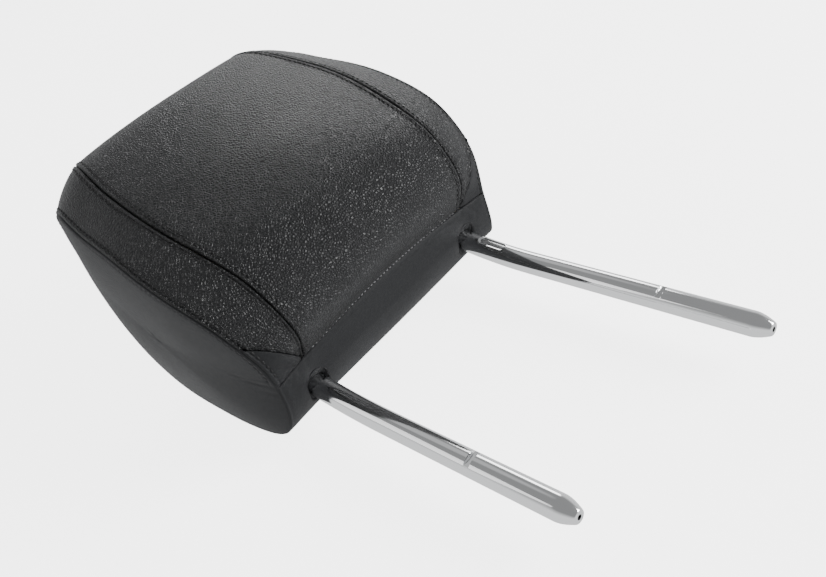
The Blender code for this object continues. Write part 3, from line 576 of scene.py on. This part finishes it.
def arc_lengths(grid):
    """Running lengths along rows and along columns of a grid of points."""
    down = np.linalg.norm(np.diff(grid, axis=0), axis=-1)
    side = np.linalg.norm(np.diff(grid, axis=1), axis=-1)
    down = np.concatenate([np.zeros((1, grid.shape[1])), np.cumsum(down, axis=0)])
    side = np.concatenate([np.zeros((grid.shape[0], 1)), np.cumsum(side, axis=1)], axis=1)
    return down, side


def sewn(grid, seams, extra=None):
    """Presses the seams of all four edges into a grid; extra adds its own height."""
    down, side = arc_lengths(grid)
    height = np.zeros(grid.shape[:2])
    first, last, low, high = seams
    height += seam_dip(down, first, side) + seam_dip(down[-1:] - down, last, side)
    height += seam_dip(side, low, down) + seam_dip(side[:, -1:] - side, high, down)
    if extra is not None:
        height += extra(down, side)
    return grid + normals_of(grid) * height[..., None]


def finish_panel(name, grid, finish, replaced):
    """Makes a leather panel from its grid and hides the parts it stands for."""
    rows, columns = grid.shape[:2]
    grid[..., 2] = np.maximum(grid[..., 2], REST_LEVEL)
    quads = grid_quads(rows, columns)
    made = new_mesh_object(name, grid.reshape(-1, 3), quads.tolist(), finish)
    wall(made, LEATHER_THICKNESS)
    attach(made, "cushion")
    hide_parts(*replaced)
    return made


def sleeve_grid(first, last, low, high, row_shares, column_shares):
    """Grid of the swollen cover between two stations, which may change across it, and two across values."""
    across = low + (high - low) * column_shares[None, :]
    begin, end = at_station(first(np.abs(across))), at_station(last(np.abs(across)))
    along = begin + (end - begin) * row_shares[:, None]
    across = np.broadcast_to(across, along.shape)
    grid = sleeve(along, across)
    return grid + normals_of(grid) * swelling_at(along, sleeve_column(across))[..., None]


def strip_edge(across):
    """Station of the strip's lower end, from the inner seam's end up to the outer seam."""
    return STRIP_START * np.clip(across - 1, 0, 1)


def level(station):
    """An edge that stays at one station all the way across."""
    return lambda across: np.full_like(across, station)


def panel_length(first, last, across):
    """Length of the cover between two stations at an across value."""
    along = np.linspace(at_station(first), at_station(last), 60)
    return float(np.linalg.norm(np.diff(sleeve(along, across), axis=0), axis=1).sum())


FRONT_LENGTH = panel_length(BOTTOM_SEAM, TOP_SEAM, 0.5)
REAR_LENGTH = panel_length(TOP_SEAM, REAR_SEAM, 0.5)
BOTTOM_LENGTH = panel_length(REAR_SEAM, ROUND, 0.5)
HAIR = 0.0012                                   # half of the gap left between two panels' edges, as a share


def front_hollows(down, side):
    """Slow waves in the front leather, a few tenths high, and short ones along its bottom seam."""
    wave = 0.22 * np.sin(down / 31 + 0.4) * np.sin(side / 23 + 1.1) + 0.12 * np.sin(down / 13 + side / 17)
    near_bottom = np.exp(-(down / 9) ** 2)
    return wave + 0.18 * near_bottom * np.sin(2 * np.pi * side / 11.0)


front = sleeve_grid(level(BOTTOM_SEAM), level(TOP_SEAM), -1 + HAIR, 1 - HAIR,
                    spaced(FRONT_LENGTH, 1.05), spaced(150.0, 2.2))
finish_panel("front_panel_leather", sewn(front, ("plain", "plain", "twin", "twin"), front_hollows), GRAINED,
             ["front_panel"])


def strip_puckers(down, side):
    """Short folds that fan up from the strip's lower seam."""
    fade = np.exp(-(down / 7.0) ** 2)
    return 0.45 * fade * np.sin(2 * np.pi * side / 6.4 + 0.8) + 0.25 * fade * np.cos(2 * np.pi * (down / 3.4))


def corner_folds(down, side):
    """Soft folds across the corner piece."""
    return 0.22 * np.sin(side / 3.1 + down / 5.5) * np.exp(-((down - 9) / 8.0) ** 2)


for sign, label in ((-1, "left"), (1, "right")):
    low, high = (1 + 5 * HAIR, 2 - 5 * HAIR)
    ends = (low, high) if sign > 0 else (-high, -low)
    strip = sleeve_grid(strip_edge, level(TOP_SEAM), *ends,
                        spaced(FRONT_LENGTH - 20, 1.05), spaced(30.0, 1.4))
    finish_panel(label + "_bolster_leather", sewn(strip, ("plain", "plain", "twin", "twin"), strip_puckers),
                 GRAINED, [label + "_bolster_strip"])
    low = 1.05
    ends = (low, high) if sign > 0 else (-high, -low)
    corner = sleeve_grid(level(BOTTOM_SEAM), strip_edge, *ends,
                         spaced(16.0, 0.8, 0.4, 4.0), spaced(28.0, 0.9))
    sides = ("plain", "twin") if sign > 0 else ("twin", "plain")
    finish_panel(label + "_corner_leather", sewn(corner, ("plain", "plain", *sides), corner_folds), SMOOTH,
                 [label + "_corner_piece"])


GUSSET_TURNS = 420                              # points round a gusset


def gusset(sign, label):
    """The side panel: rings of the dome from the outer seam in to one point, with the same seam along it."""
    along = np.linspace(0, KNOTS[-1], GUSSET_TURNS, endpoint=False)[:, None]
    rings = 1 - spaced(90.0, 2.4, 0.4, 6.0)[:-14]
    rings = np.concatenate([rings[rings > 0.03], [0.015]])
    ring = np.broadcast_to(rings[None, :], (GUSSET_TURNS, len(rings)))
    along = np.broadcast_to(along, ring.shape)
    grid = dome(along, ring * (1 - 0.002), sign)
    wrapped = np.concatenate([grid[-2:], grid, grid[:2]], axis=0)
    normal = normals_of(wrapped)[2:-2] * sign
    grid = grid + normal * swelling_at(along, gusset_column(ring, sign))[..., None]
    steps = np.linalg.norm(np.diff(grid, axis=1), axis=-1)
    inward = np.concatenate([np.zeros((GUSSET_TURNS, 1)), np.cumsum(steps, axis=1)], axis=1)
    top, start = at_station(TOP_SEAM), at_station(0.1)
    twin = np.clip((along - start) / 6, 0, 1) * np.clip((top - along) / 6, 0, 1)
    height = seam_dip(inward, "twin", along) * twin + seam_dip(inward, "plain", along) * (1 - twin)
    hollows = 0.35 * np.sin(grid[..., 1] / 27 + 0.6) * np.sin(grid[..., 2] / 23 + 1.2)
    hollows = hollows * np.clip(inward / 20, 0, 1)
    grid = grid + normal * (height + hollows)[..., None]
    grid[..., 2] = np.maximum(grid[..., 2], REST_LEVEL)
    rows, columns = grid.shape[:2]
    points = np.vstack([grid.reshape(-1, 3), grid[:, -1].mean(0)])
    turn = np.arange(rows)
    fan = np.stack([turn * columns + columns - 1, (turn + 1) % rows * columns + columns - 1,
                    np.full(rows, rows * columns)], axis=1)
    quads = grid_quads(rows, columns, True)
    if sign < 0:
        quads = quads[:, ::-1]
    else:
        fan = fan[:, ::-1]
    made = new_mesh_object(label + "_gusset_leather", points, quads.tolist() + fan.tolist(), SMOOTH)
    wall(made, LEATHER_THICKNESS)
    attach(made, "cushion")
    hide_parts(label + "_side_gusset")
    return made


gusset(-1, "left")
gusset(1, "right")

rear = sleeve_grid(level(TOP_SEAM), level(REAR_SEAM), -2 + 3 * HAIR, 2 - 3 * HAIR,
                   spaced(REAR_LENGTH, 1.6), spaced(210.0, 2.6))
finish_panel("rear_panel_leather", sewn(rear, ("plain", "plain", "plain", "plain")), SMOOTH,
             ["rear_panel"])


# ------------------------------------------------------------------------ bottom panel and its post openings

def post_centre(y):
    """Height of a post's axis at a y between the bend and the crossbar."""
    end_y = BEND_START_Y + BEND_RADIUS * math.sin(BEND_ANGLE)
    end_z = POST_Z + BEND_RADIUS * (1 - math.cos(BEND_ANGLE))
    return end_z + (y - end_y) * math.tan(BEND_ANGLE)


SLOT_HALF, SLOT_UP, SLOT_DOWN = 7.9, 12.8, 11.2  # a slot's half width and its reach above and below the post


def slot_distance(grid):
    """How far a point lies outside (plus) or inside (minus) the nearest post opening, a slot with round ends."""
    x = np.abs(grid[..., 0]) - POST_X
    z = grid[..., 2] - post_centre(grid[..., 1])
    stretch = np.where(z > 0, SLOT_UP, SLOT_DOWN) - SLOT_HALF
    return np.hypot(x, np.maximum(np.abs(z) - stretch, 0)) - SLOT_HALF


def bottom_panel():
    """The bottom panel: it dips in softly round each post, turns in at the slots' edges and is open inside."""
    grid = sleeve_grid(level(REAR_SEAM), level(ROUND), -2 + 3 * HAIR, 2 - 3 * HAIR,
                       spaced(BOTTOM_LENGTH, 0.6, 0.4, 5.0), np.linspace(0, 1, 381))
    grid = sewn(grid, ("plain", "plain", "plain", "plain"),
                lambda down, side: 0.3 * np.sin(side / 15.0) * np.sin(down / 9.0))
    apart = slot_distance(grid)
    depth = 0.6 * np.exp(-(np.maximum(apart, 0) / 3.5) ** 2) + 2.4 / (1 + np.exp((apart + 0.3) / 0.35))
    grid = grid - normals_of(grid) * depth[..., None]
    grid[..., 2] = np.maximum(grid[..., 2], REST_LEVEL)
    rows, columns = grid.shape[:2]
    quads = grid_quads(rows, columns)
    open_slot = (apart.reshape(-1)[quads] < -0.5).any(axis=1)
    made = new_mesh_object("bottom_panel_leather", grid.reshape(-1, 3), quads[~open_slot].tolist(), SMOOTH)
    loose = bmesh.new()
    loose.from_mesh(made.data)
    bmesh.ops.delete(loose, geom=[v for v in loose.verts if not v.link_faces], context="VERTS")
    loose.to_mesh(made.data)
    loose.free()
    wall(made, 1.0)
    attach(made, "cushion")
    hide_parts("bottom_panel")
    return made


bottom_panel()

BOOT_WAY = np.array((0.0, 0.963, 0.266))        # the boots reach in along this direction
BOOT_MOUTH, BOOT_THROAT = 15.9, 17.8            # distances along it of the boots' two ends
BOOT_UNDERLAP, BOOT_GAP = 0.6, 0.08             # past the slot's edge at the mouth, off the post at the throat


def post_boot(sign, label):
    """Leather tucked in round a post: rings that go from the slot's outline to the post's round, sinking as they
    close in."""
    turn = np.linspace(0, 2 * np.pi, 120, endpoint=False)[:, None]
    share = np.linspace(0, 1, 15)[None, :]
    reach_up, reach_down = SLOT_UP - SLOT_HALF, SLOT_DOWN - SLOT_HALF
    wide = (SLOT_HALF + BOOT_UNDERLAP) * np.cos(turn)
    tall = (SLOT_HALF + BOOT_UNDERLAP) * np.sin(turn)
    tall = tall + np.clip(np.sin(turn) * 6, -1, 1) * np.where(np.sin(turn) > 0, reach_up, reach_down)
    close = share ** 0.8
    x = wide * (1 - close) + (POST_RADIUS + BOOT_GAP) * np.cos(turn) * close
    z = tall * (1 - close) + (POST_RADIUS + BOOT_GAP) * np.sin(turn) * close
    sink = BOOT_MOUTH + (BOOT_THROAT - BOOT_MOUTH) * share ** 1.2
    folds = 0.22 * np.sin(turn * 9 + 1.3) * np.sin(np.pi * share)
    slope = math.tan(BEND_ANGLE)
    axis_z = post_centre(0.0)
    y = (sink + folds - BOOT_WAY[2] * (axis_z + z)) / (BOOT_WAY[1] + BOOT_WAY[2] * slope)
    grid = np.stack([sign * POST_X + x, y, post_centre(y) + z], axis=-1)
    rows, columns = grid.shape[:2]
    made = new_mesh_object(label + "_post_boot", grid.reshape(-1, 3),
                           grid_quads(rows, columns, True).tolist(), SMOOTH)
    wall(made, 0.5)
    made.modifiers["leather_thickness"].offset = 1.0
    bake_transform(made)
    return made


post_boot(-1, "left")
post_boot(1, "right")

# ---------------------------------------------------------------------------------------------- stitches

def stitches_along(line, up, rise, pitch):
    """Centres, directions and upward directions of stitches one pitch apart along a dense line of points."""
    run = np.concatenate([[0.0], np.cumsum(np.linalg.norm(np.diff(line, axis=0), axis=1))])
    marks = np.arange(pitch, run[-1] - pitch * 0.5, pitch)

    def at_marks(values):
        """Values read off at the stitches."""
        return np.stack([np.interp(marks, run, values[:, k]) for k in range(3)], axis=1)

    forward = at_marks(np.gradient(line, axis=0))
    forward /= np.linalg.norm(forward, axis=1, keepdims=True)
    top = at_marks(up)
    top -= forward * (top * forward).sum(1, keepdims=True)
    top /= np.linalg.norm(top, axis=1, keepdims=True)
    return at_marks(line + up * rise[:, None]), forward, top


def sleeve_stitches(along, across, lift, pitch):
    """Stitches on a line of the swollen cover given by dense lengths round it and across values."""
    forward = sleeve(along + 0.5, across) - sleeve(along - 0.5, across)
    sideways = sleeve(along, across + 0.01) - sleeve(along, across - 0.01)
    up = np.cross(sideways, forward)
    up /= np.linalg.norm(up, axis=1, keepdims=True)
    return stitches_along(sleeve(along, across), up, swelling_at(along, sleeve_column(across)) + lift, pitch)


def stitch_mesh(centre, forward, up, length, radius):
    """Every stitch as a bowed capsule: five rings of six points whose ends dive into the leather."""
    share = np.linspace(-1, 1, 5)
    thick = radius * np.array((0.55, 0.95, 1.0, 0.95, 0.55))
    bow = -0.55 * share ** 2 * radius * 2
    turn = 2 * np.pi * np.arange(6) / 6
    side = np.cross(forward, up)
    rings = (centre[:, None, None] + forward[:, None, None] * (share * length / 2)[None, :, None, None]
             + up[:, None, None] * (bow[None, :, None, None]
                                    + (thick[:, None] * np.sin(turn))[None, :, :, None])
             + side[:, None, None] * (thick[:, None] * np.cos(turn))[None, :, :, None])
    count = len(centre)
    ring, spoke = np.arange(4)[:, None], np.arange(6)[None, :]
    quad = np.stack([ring * 6 + spoke, (ring + 1) * 6 + spoke, (ring + 1) * 6 + (spoke + 1) % 6,
                     ring * 6 + (spoke + 1) % 6], axis=-1).reshape(-1, 4)
    offset = np.arange(count)[:, None, None] * 30
    quads = (quad[None] + offset).reshape(-1, 4).tolist()
    caps = np.array([[0, 1, 2, 3, 4, 5], [29, 28, 27, 26, 25, 24]])
    return rings.reshape(-1, 3), quads + (caps[None] + offset).reshape(-1, 6).tolist()


def add_stitches(name, rows, length, radius, finish):
    """One object that holds all the stitches of some rows."""
    parts = [stitch_mesh(*row, length, radius) for row in rows]
    points, faces, shift = [], [], 0
    for place, polygons in parts:
        points.append(place)
        faces += [[v + shift for v in polygon] for polygon in polygons]
        shift += len(place)
    made = new_mesh_object(name, np.vstack(points), faces, finish)
    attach(made, "cushion")
    return made


def beside(seam, sign, distance):
    """Across value of a line a distance from a seam, on the middle's side (minus) or the outside (plus)."""
    def line(along):
        """Across value at a length round the section."""
        inner = closed_curve(KNOTS, INNER, along)
        outer = closed_curve(KNOTS, OUTER, along)
        middle = closed_curve(KNOTS, MIDDLE, along)
        span = np.linalg.norm(outer - inner, axis=-1) if (seam == 2 or distance > 0) \
            else np.linalg.norm(inner - middle, axis=-1)
        return sign * (seam + distance / span)
    return line


SUNK = -0.16                                    # stitches lie this far below the padded surface


def gusset_stitches(sign):
    """The gusset's own stitch row, a fixed distance inside the outer seam."""
    along = np.linspace(at_station(0.25), at_station(TOP_SEAM) - 3, 900)
    outer = closed_curve(KNOTS, OUTER, along)
    ring = 1 - ROW_OFFSET * 0.9 / np.linalg.norm((outer - GUSSET_CENTRE)[:, 1:], axis=1)
    line = dome(along, ring, sign)
    up = np.cross(dome(along, ring - 0.02, sign) - line, np.gradient(line, axis=0)) * sign
    up /= np.linalg.norm(up, axis=1, keepdims=True)
    return stitches_along(line, up, swelling_at(along, gusset_column(ring, sign)) + SUNK, STITCH_PITCH)


long_run = np.linspace(at_station(0.15), at_station(TOP_SEAM) - 3, 900)
strip_run = np.linspace(at_station(0.25), at_station(TOP_SEAM) - 3, 900)
for sign, label in ((-1, "left"), (1, "right")):
    rows = [sleeve_stitches(long_run, beside(1, sign, -ROW_OFFSET)(long_run), SUNK, STITCH_PITCH),
            sleeve_stitches(long_run, beside(1, sign, ROW_OFFSET)(long_run), SUNK, STITCH_PITCH),
            sleeve_stitches(strip_run, beside(2, sign, -ROW_OFFSET)(strip_run), SUNK, STITCH_PITCH),
            gusset_stitches(sign)]
    add_stitches(label + "_seam_stitches", rows, STITCH_LENGTH, THREAD_RADIUS, DARK_THREAD)

across_bottom = np.linspace(-0.93, 0.93, 400)
low_line = np.full(400, at_station(BOTTOM_SEAM) + 1.3)
add_stitches("bottom_seam_stitches", [sleeve_stitches(low_line, across_bottom, -0.08, 2.9)],
             1.9, 0.36, GREY_THREAD)

# ------------------------------------------------------------------------------------------------- posts

def leg_line(label, sign):
    """Points down the middle of one leg and the radius at each: straight, gentle bend, straight, corner."""
    tip = TIP_Y[label]
    notch = tip + NOTCH_FROM_TIP
    reach = np.concatenate([
        tip + np.array((*TIP_DEPTHS, 14.0)),
        np.linspace(tip + 18, notch - 4.2, 24), notch + np.linspace(-3.4, 3.4, 46),
        np.linspace(notch + 4.2, BEND_START_Y - 1, 36)])
    line = np.stack([np.full_like(reach, sign * POST_X), reach, np.full_like(reach, POST_Z)], axis=1)
    turn = np.linspace(0, BEND_ANGLE, 120)
    bend = np.stack([np.full_like(turn, sign * POST_X), BEND_START_Y + BEND_RADIUS * np.sin(turn),
                     POST_Z + BEND_RADIUS * (1 - np.cos(turn))], axis=1)
    along = np.array((0, math.cos(BEND_ANGLE), math.sin(BEND_ANGLE)))
    straight = bend[-1] + np.linspace(3, TO_CROSSBAR - CORNER_RADIUS - 2, 8)[:, None] * along
    corner_turn = np.linspace(0, math.pi / 2, 14)[:, None]
    corner = bend[-1] + along * (TO_CROSSBAR - CORNER_RADIUS + CORNER_RADIUS * np.sin(corner_turn)) \
        - np.array((sign * CORNER_RADIUS, 0, 0)) * (1 - np.cos(corner_turn))
    line = np.vstack([line, bend, straight, corner])
    depth = line[:, 1] - tip
    tip_radius = np.interp(depth, TIP_DEPTHS, TIP_RADII)
    return line, np.where(depth < 12, tip_radius, POST_RADIUS)


def chromed_tube():
    """The bent tube: circles square to its line, flattened where the notches are milled and pressed in at
    the right leg's stamped recess; each tip closes over its flat with a small vent."""
    left, left_radius = leg_line("left", -1)
    right, right_radius = leg_line("right", 1)
    middle = np.linspace(left[-1], right[-1], 24)[1:-1]
    line = np.vstack([left, middle, right[::-1]])
    radius = np.concatenate([left_radius, np.full(len(middle), POST_RADIUS), right_radius[::-1]])
    tangent = np.gradient(line, axis=0)
    tangent /= np.linalg.norm(tangent, axis=1, keepdims=True)
    up = np.array((0, -math.sin(BEND_ANGLE), math.cos(BEND_ANGLE)))
    across = np.cross(up, tangent)
    across /= np.linalg.norm(across, axis=1, keepdims=True)
    second = np.cross(tangent, across)
    sides = 72
    turn = 2 * np.pi * np.arange(sides) / sides
    rings = line[:, None] + radius[:, None, None] * (np.cos(turn)[None, :, None] * across[:, None]
                                                     + np.sin(turn)[None, :, None] * second[:, None])
    x, y, z = rings[..., 0], rings[..., 1], rings[..., 2]
    for label, sign in (("left", -1), ("right", 1)):
        on_leg = np.abs(x - sign * POST_X) < POST_RADIUS + 1
        far = np.abs(y - (TIP_Y[label] + NOTCH_FROM_TIP))
        cut = POST_Z + POST_RADIUS - NOTCH_DEPTH + np.clip((far - NOTCH_WIDTH / 2 + 0.3) / 0.35, 0, 1) * 3.0
        rings[..., 2] = np.where(on_leg & (far < NOTCH_WIDTH / 2 + 0.5), np.minimum(z, cut), z)
        z = rings[..., 2]
    straight_half = (STAMP_LENGTH - STAMP_WIDTH) / 2
    reach = np.hypot(np.maximum(np.abs(y - STAMP_Y) - straight_half, 0), x - POST_X) - STAMP_WIDTH / 2
    above = (z > POST_Z) & (x > 0)
    rings[..., 2] = z - STAMP_DEPTH * above / (1 + np.exp(reach / 0.16))
    rows = len(line)
    vents = []
    for end, step in ((0, 1), (rows - 1, -1)):
        inner = line[end] + (rings[end] - line[end]) * (1.5 / radius[end])
        vents.append((inner, inner + tangent[end] * 6.0 * step))
    stack = np.concatenate([vents[0][1][None], vents[0][0][None], rings, vents[1][0][None], vents[1][1][None]])
    count = len(stack)
    row, spoke = np.arange(count - 1)[:, None], np.arange(sides)[None, :]
    quads = np.stack([row * sides + spoke, row * sides + (spoke + 1) % sides,
                      (row + 1) * sides + (spoke + 1) % sides, (row + 1) * sides + spoke], axis=-1).reshape(-1, 4)
    caps = [np.arange(sides)[::-1].tolist(), ((count - 1) * sides + np.arange(sides)).tolist()]
    made = new_mesh_object("chromed_post_tube", stack.reshape(-1, 3), quads.tolist() + caps, CHROME)
    made.data.set_sharp_from_angle(angle=math.radians(38))
    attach(made, "posts")
    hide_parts("post_frame")
    return made


chromed_tube()

# ------------------------------------------------------------------------------- padding and inner pieces

def soft_padding(node):
    """The foam moulding: its solid rebuilt in even cells, rounded and given open pores."""
    source = frame["nodes"][node]
    mesh = source.data.copy()
    work = bmesh.new()
    work.from_mesh(mesh)
    bmesh.ops.remove_doubles(work, verts=work.verts, dist=0.00002)
    work.to_mesh(mesh)
    work.free()
    made = bpy.data.objects.new(node + "_moulding", mesh)
    bpy.context.scene.collection.objects.link(made)
    mesh.materials.clear()
    mesh.materials.append(FOAM)
    cells = made.modifiers.new("even_cells", "REMESH")
    cells.mode, cells.voxel_size = "VOXEL", 0.004
    cells.use_smooth_shade = True
    rounded = made.modifiers.new("rounded", "SMOOTH")
    rounded.factor, rounded.iterations = 0.5, 2
    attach(made, "cushion")
    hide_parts(node)
    return made


soft_padding("front_foam")
soft_padding("rear_foam")

FINISH_OF = {"chrome": CHROME, "spring_steel": STEEL, "zinc_screws": ZINC, "acetal": ACETAL,
             "black_plastic": BLACK_PLASTIC, "foam": FOAM, "grained_leather": GRAINED, "smooth_leather": SMOOTH}
for part in frame["record"]["subparts"]:
    node = frame["nodes"][part["node"]]
    node.data.materials.clear()
    node.data.materials.append(FINISH_OF[part["material_slot"]])

# ------------------------------------------------------------------------------------------ floor and light

floor_finish, tree, surface = node_tree("pale_floor")
surface.inputs["Base Color"].default_value = (0.86, 0.86, 0.86, 1)
surface.inputs["Roughness"].default_value = 0.9
surface.inputs["Emission Color"].default_value = (1, 1, 1, 1)
surface.inputs["Emission Strength"].default_value = 4.0
floor = new_mesh_object("floor", np.array([(-6000, -6000, -0.4), (6000, -6000, -0.4), (6000, 6000, -0.4),
                                           (-6000, 6000, -0.4)], float), [[0, 1, 2, 3]], floor_finish, False)
floor.visible_diffuse = floor.visible_glossy = False
floor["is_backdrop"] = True


def soft_light(name, place, aim, size, power):
    """A soft box at a place, turned to face its aim."""
    lamp = bpy.data.lights.new(name, "AREA")
    lamp.shape, lamp.size, lamp.size_y, lamp.energy = "RECTANGLE", size[0], size[1], power
    made = bpy.data.objects.new(name, lamp)
    bpy.context.scene.collection.objects.link(made)
    made.location = place
    made.rotation_euler = (Vector(aim) - Vector(place)).to_track_quat("-Z", "Y").to_euler()
    return made


soft_light("front_right_softbox", (0.85, -0.85, 0.65), (0, 0.0, 0.08), (0.7, 0.6), 22.0)
soft_light("back_right_softbox", (1.10, 0.95, 0.55), (0, 0.08, 0.10), (1.0, 0.45), 6.0)
soft_light("back_left_softbox", (-0.9, 1.1, 0.9), (0, 0.05, 0.08), (1.2, 0.7), 3.0)

world = bpy.data.worlds.new("studio_walls")
bpy.context.scene.world = world
world.use_nodes = True
tree = world.node_tree
direction = tree.nodes.new("ShaderNodeTexCoord").outputs["Generated"]
split = tree.nodes.new("ShaderNodeSeparateXYZ")
tree.links.new(direction, split.inputs["Vector"])


def glow(toward, from_cosine, to_cosine, strength):
    """Brightness that rises from nothing to its strength as a direction closes in on a given one."""
    angle = tree.nodes.new("ShaderNodeVectorMath")
    angle.operation = "DOT_PRODUCT"
    tree.links.new(direction, angle.inputs[0])
    angle.inputs[1].default_value = Vector(toward).normalized()
    return ramp(tree, angle.outputs["Value"], from_cosine, to_cosine, 0.0, strength)


horizon = ramp(tree, split.outputs["Z"], 0.10, 0.56, 1.0, 0.30)
ceiling = glow((0.27, 0.68, 0.69), 0.93, 0.975, 0.55)
tree.links.new(calc(tree, "MAXIMUM", horizon, ceiling), tree.nodes["Background"].inputs["Strength"])
tree.nodes["Background"].inputs["Color"].default_value = (0.98, 0.99, 1.0, 1)

# ------------------------------------------------------------------------------------------------ camera

lens = bpy.data.cameras.new("studio_camera")
lens.sensor_width, lens.lens = 36.0, 37.915
camera = bpy.data.objects.new("studio_camera", lens)
bpy.context.scene.collection.objects.link(camera)
look, up = Vector((0.4592, 0.6604, -0.5942)).normalized(), Vector((0.6218, 0.2388, 0.7459)).normalized()
right = look.cross(up).normalized()
up = right.cross(look)
turned = Matrix((right, up, -look)).transposed().to_4x4()
camera.matrix_world = Matrix.Translation((-0.2361, -0.3555, 0.3561)) @ turned
lens.clip_start, lens.clip_end = 0.01, 50
bpy.context.scene.camera = camera

low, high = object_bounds()
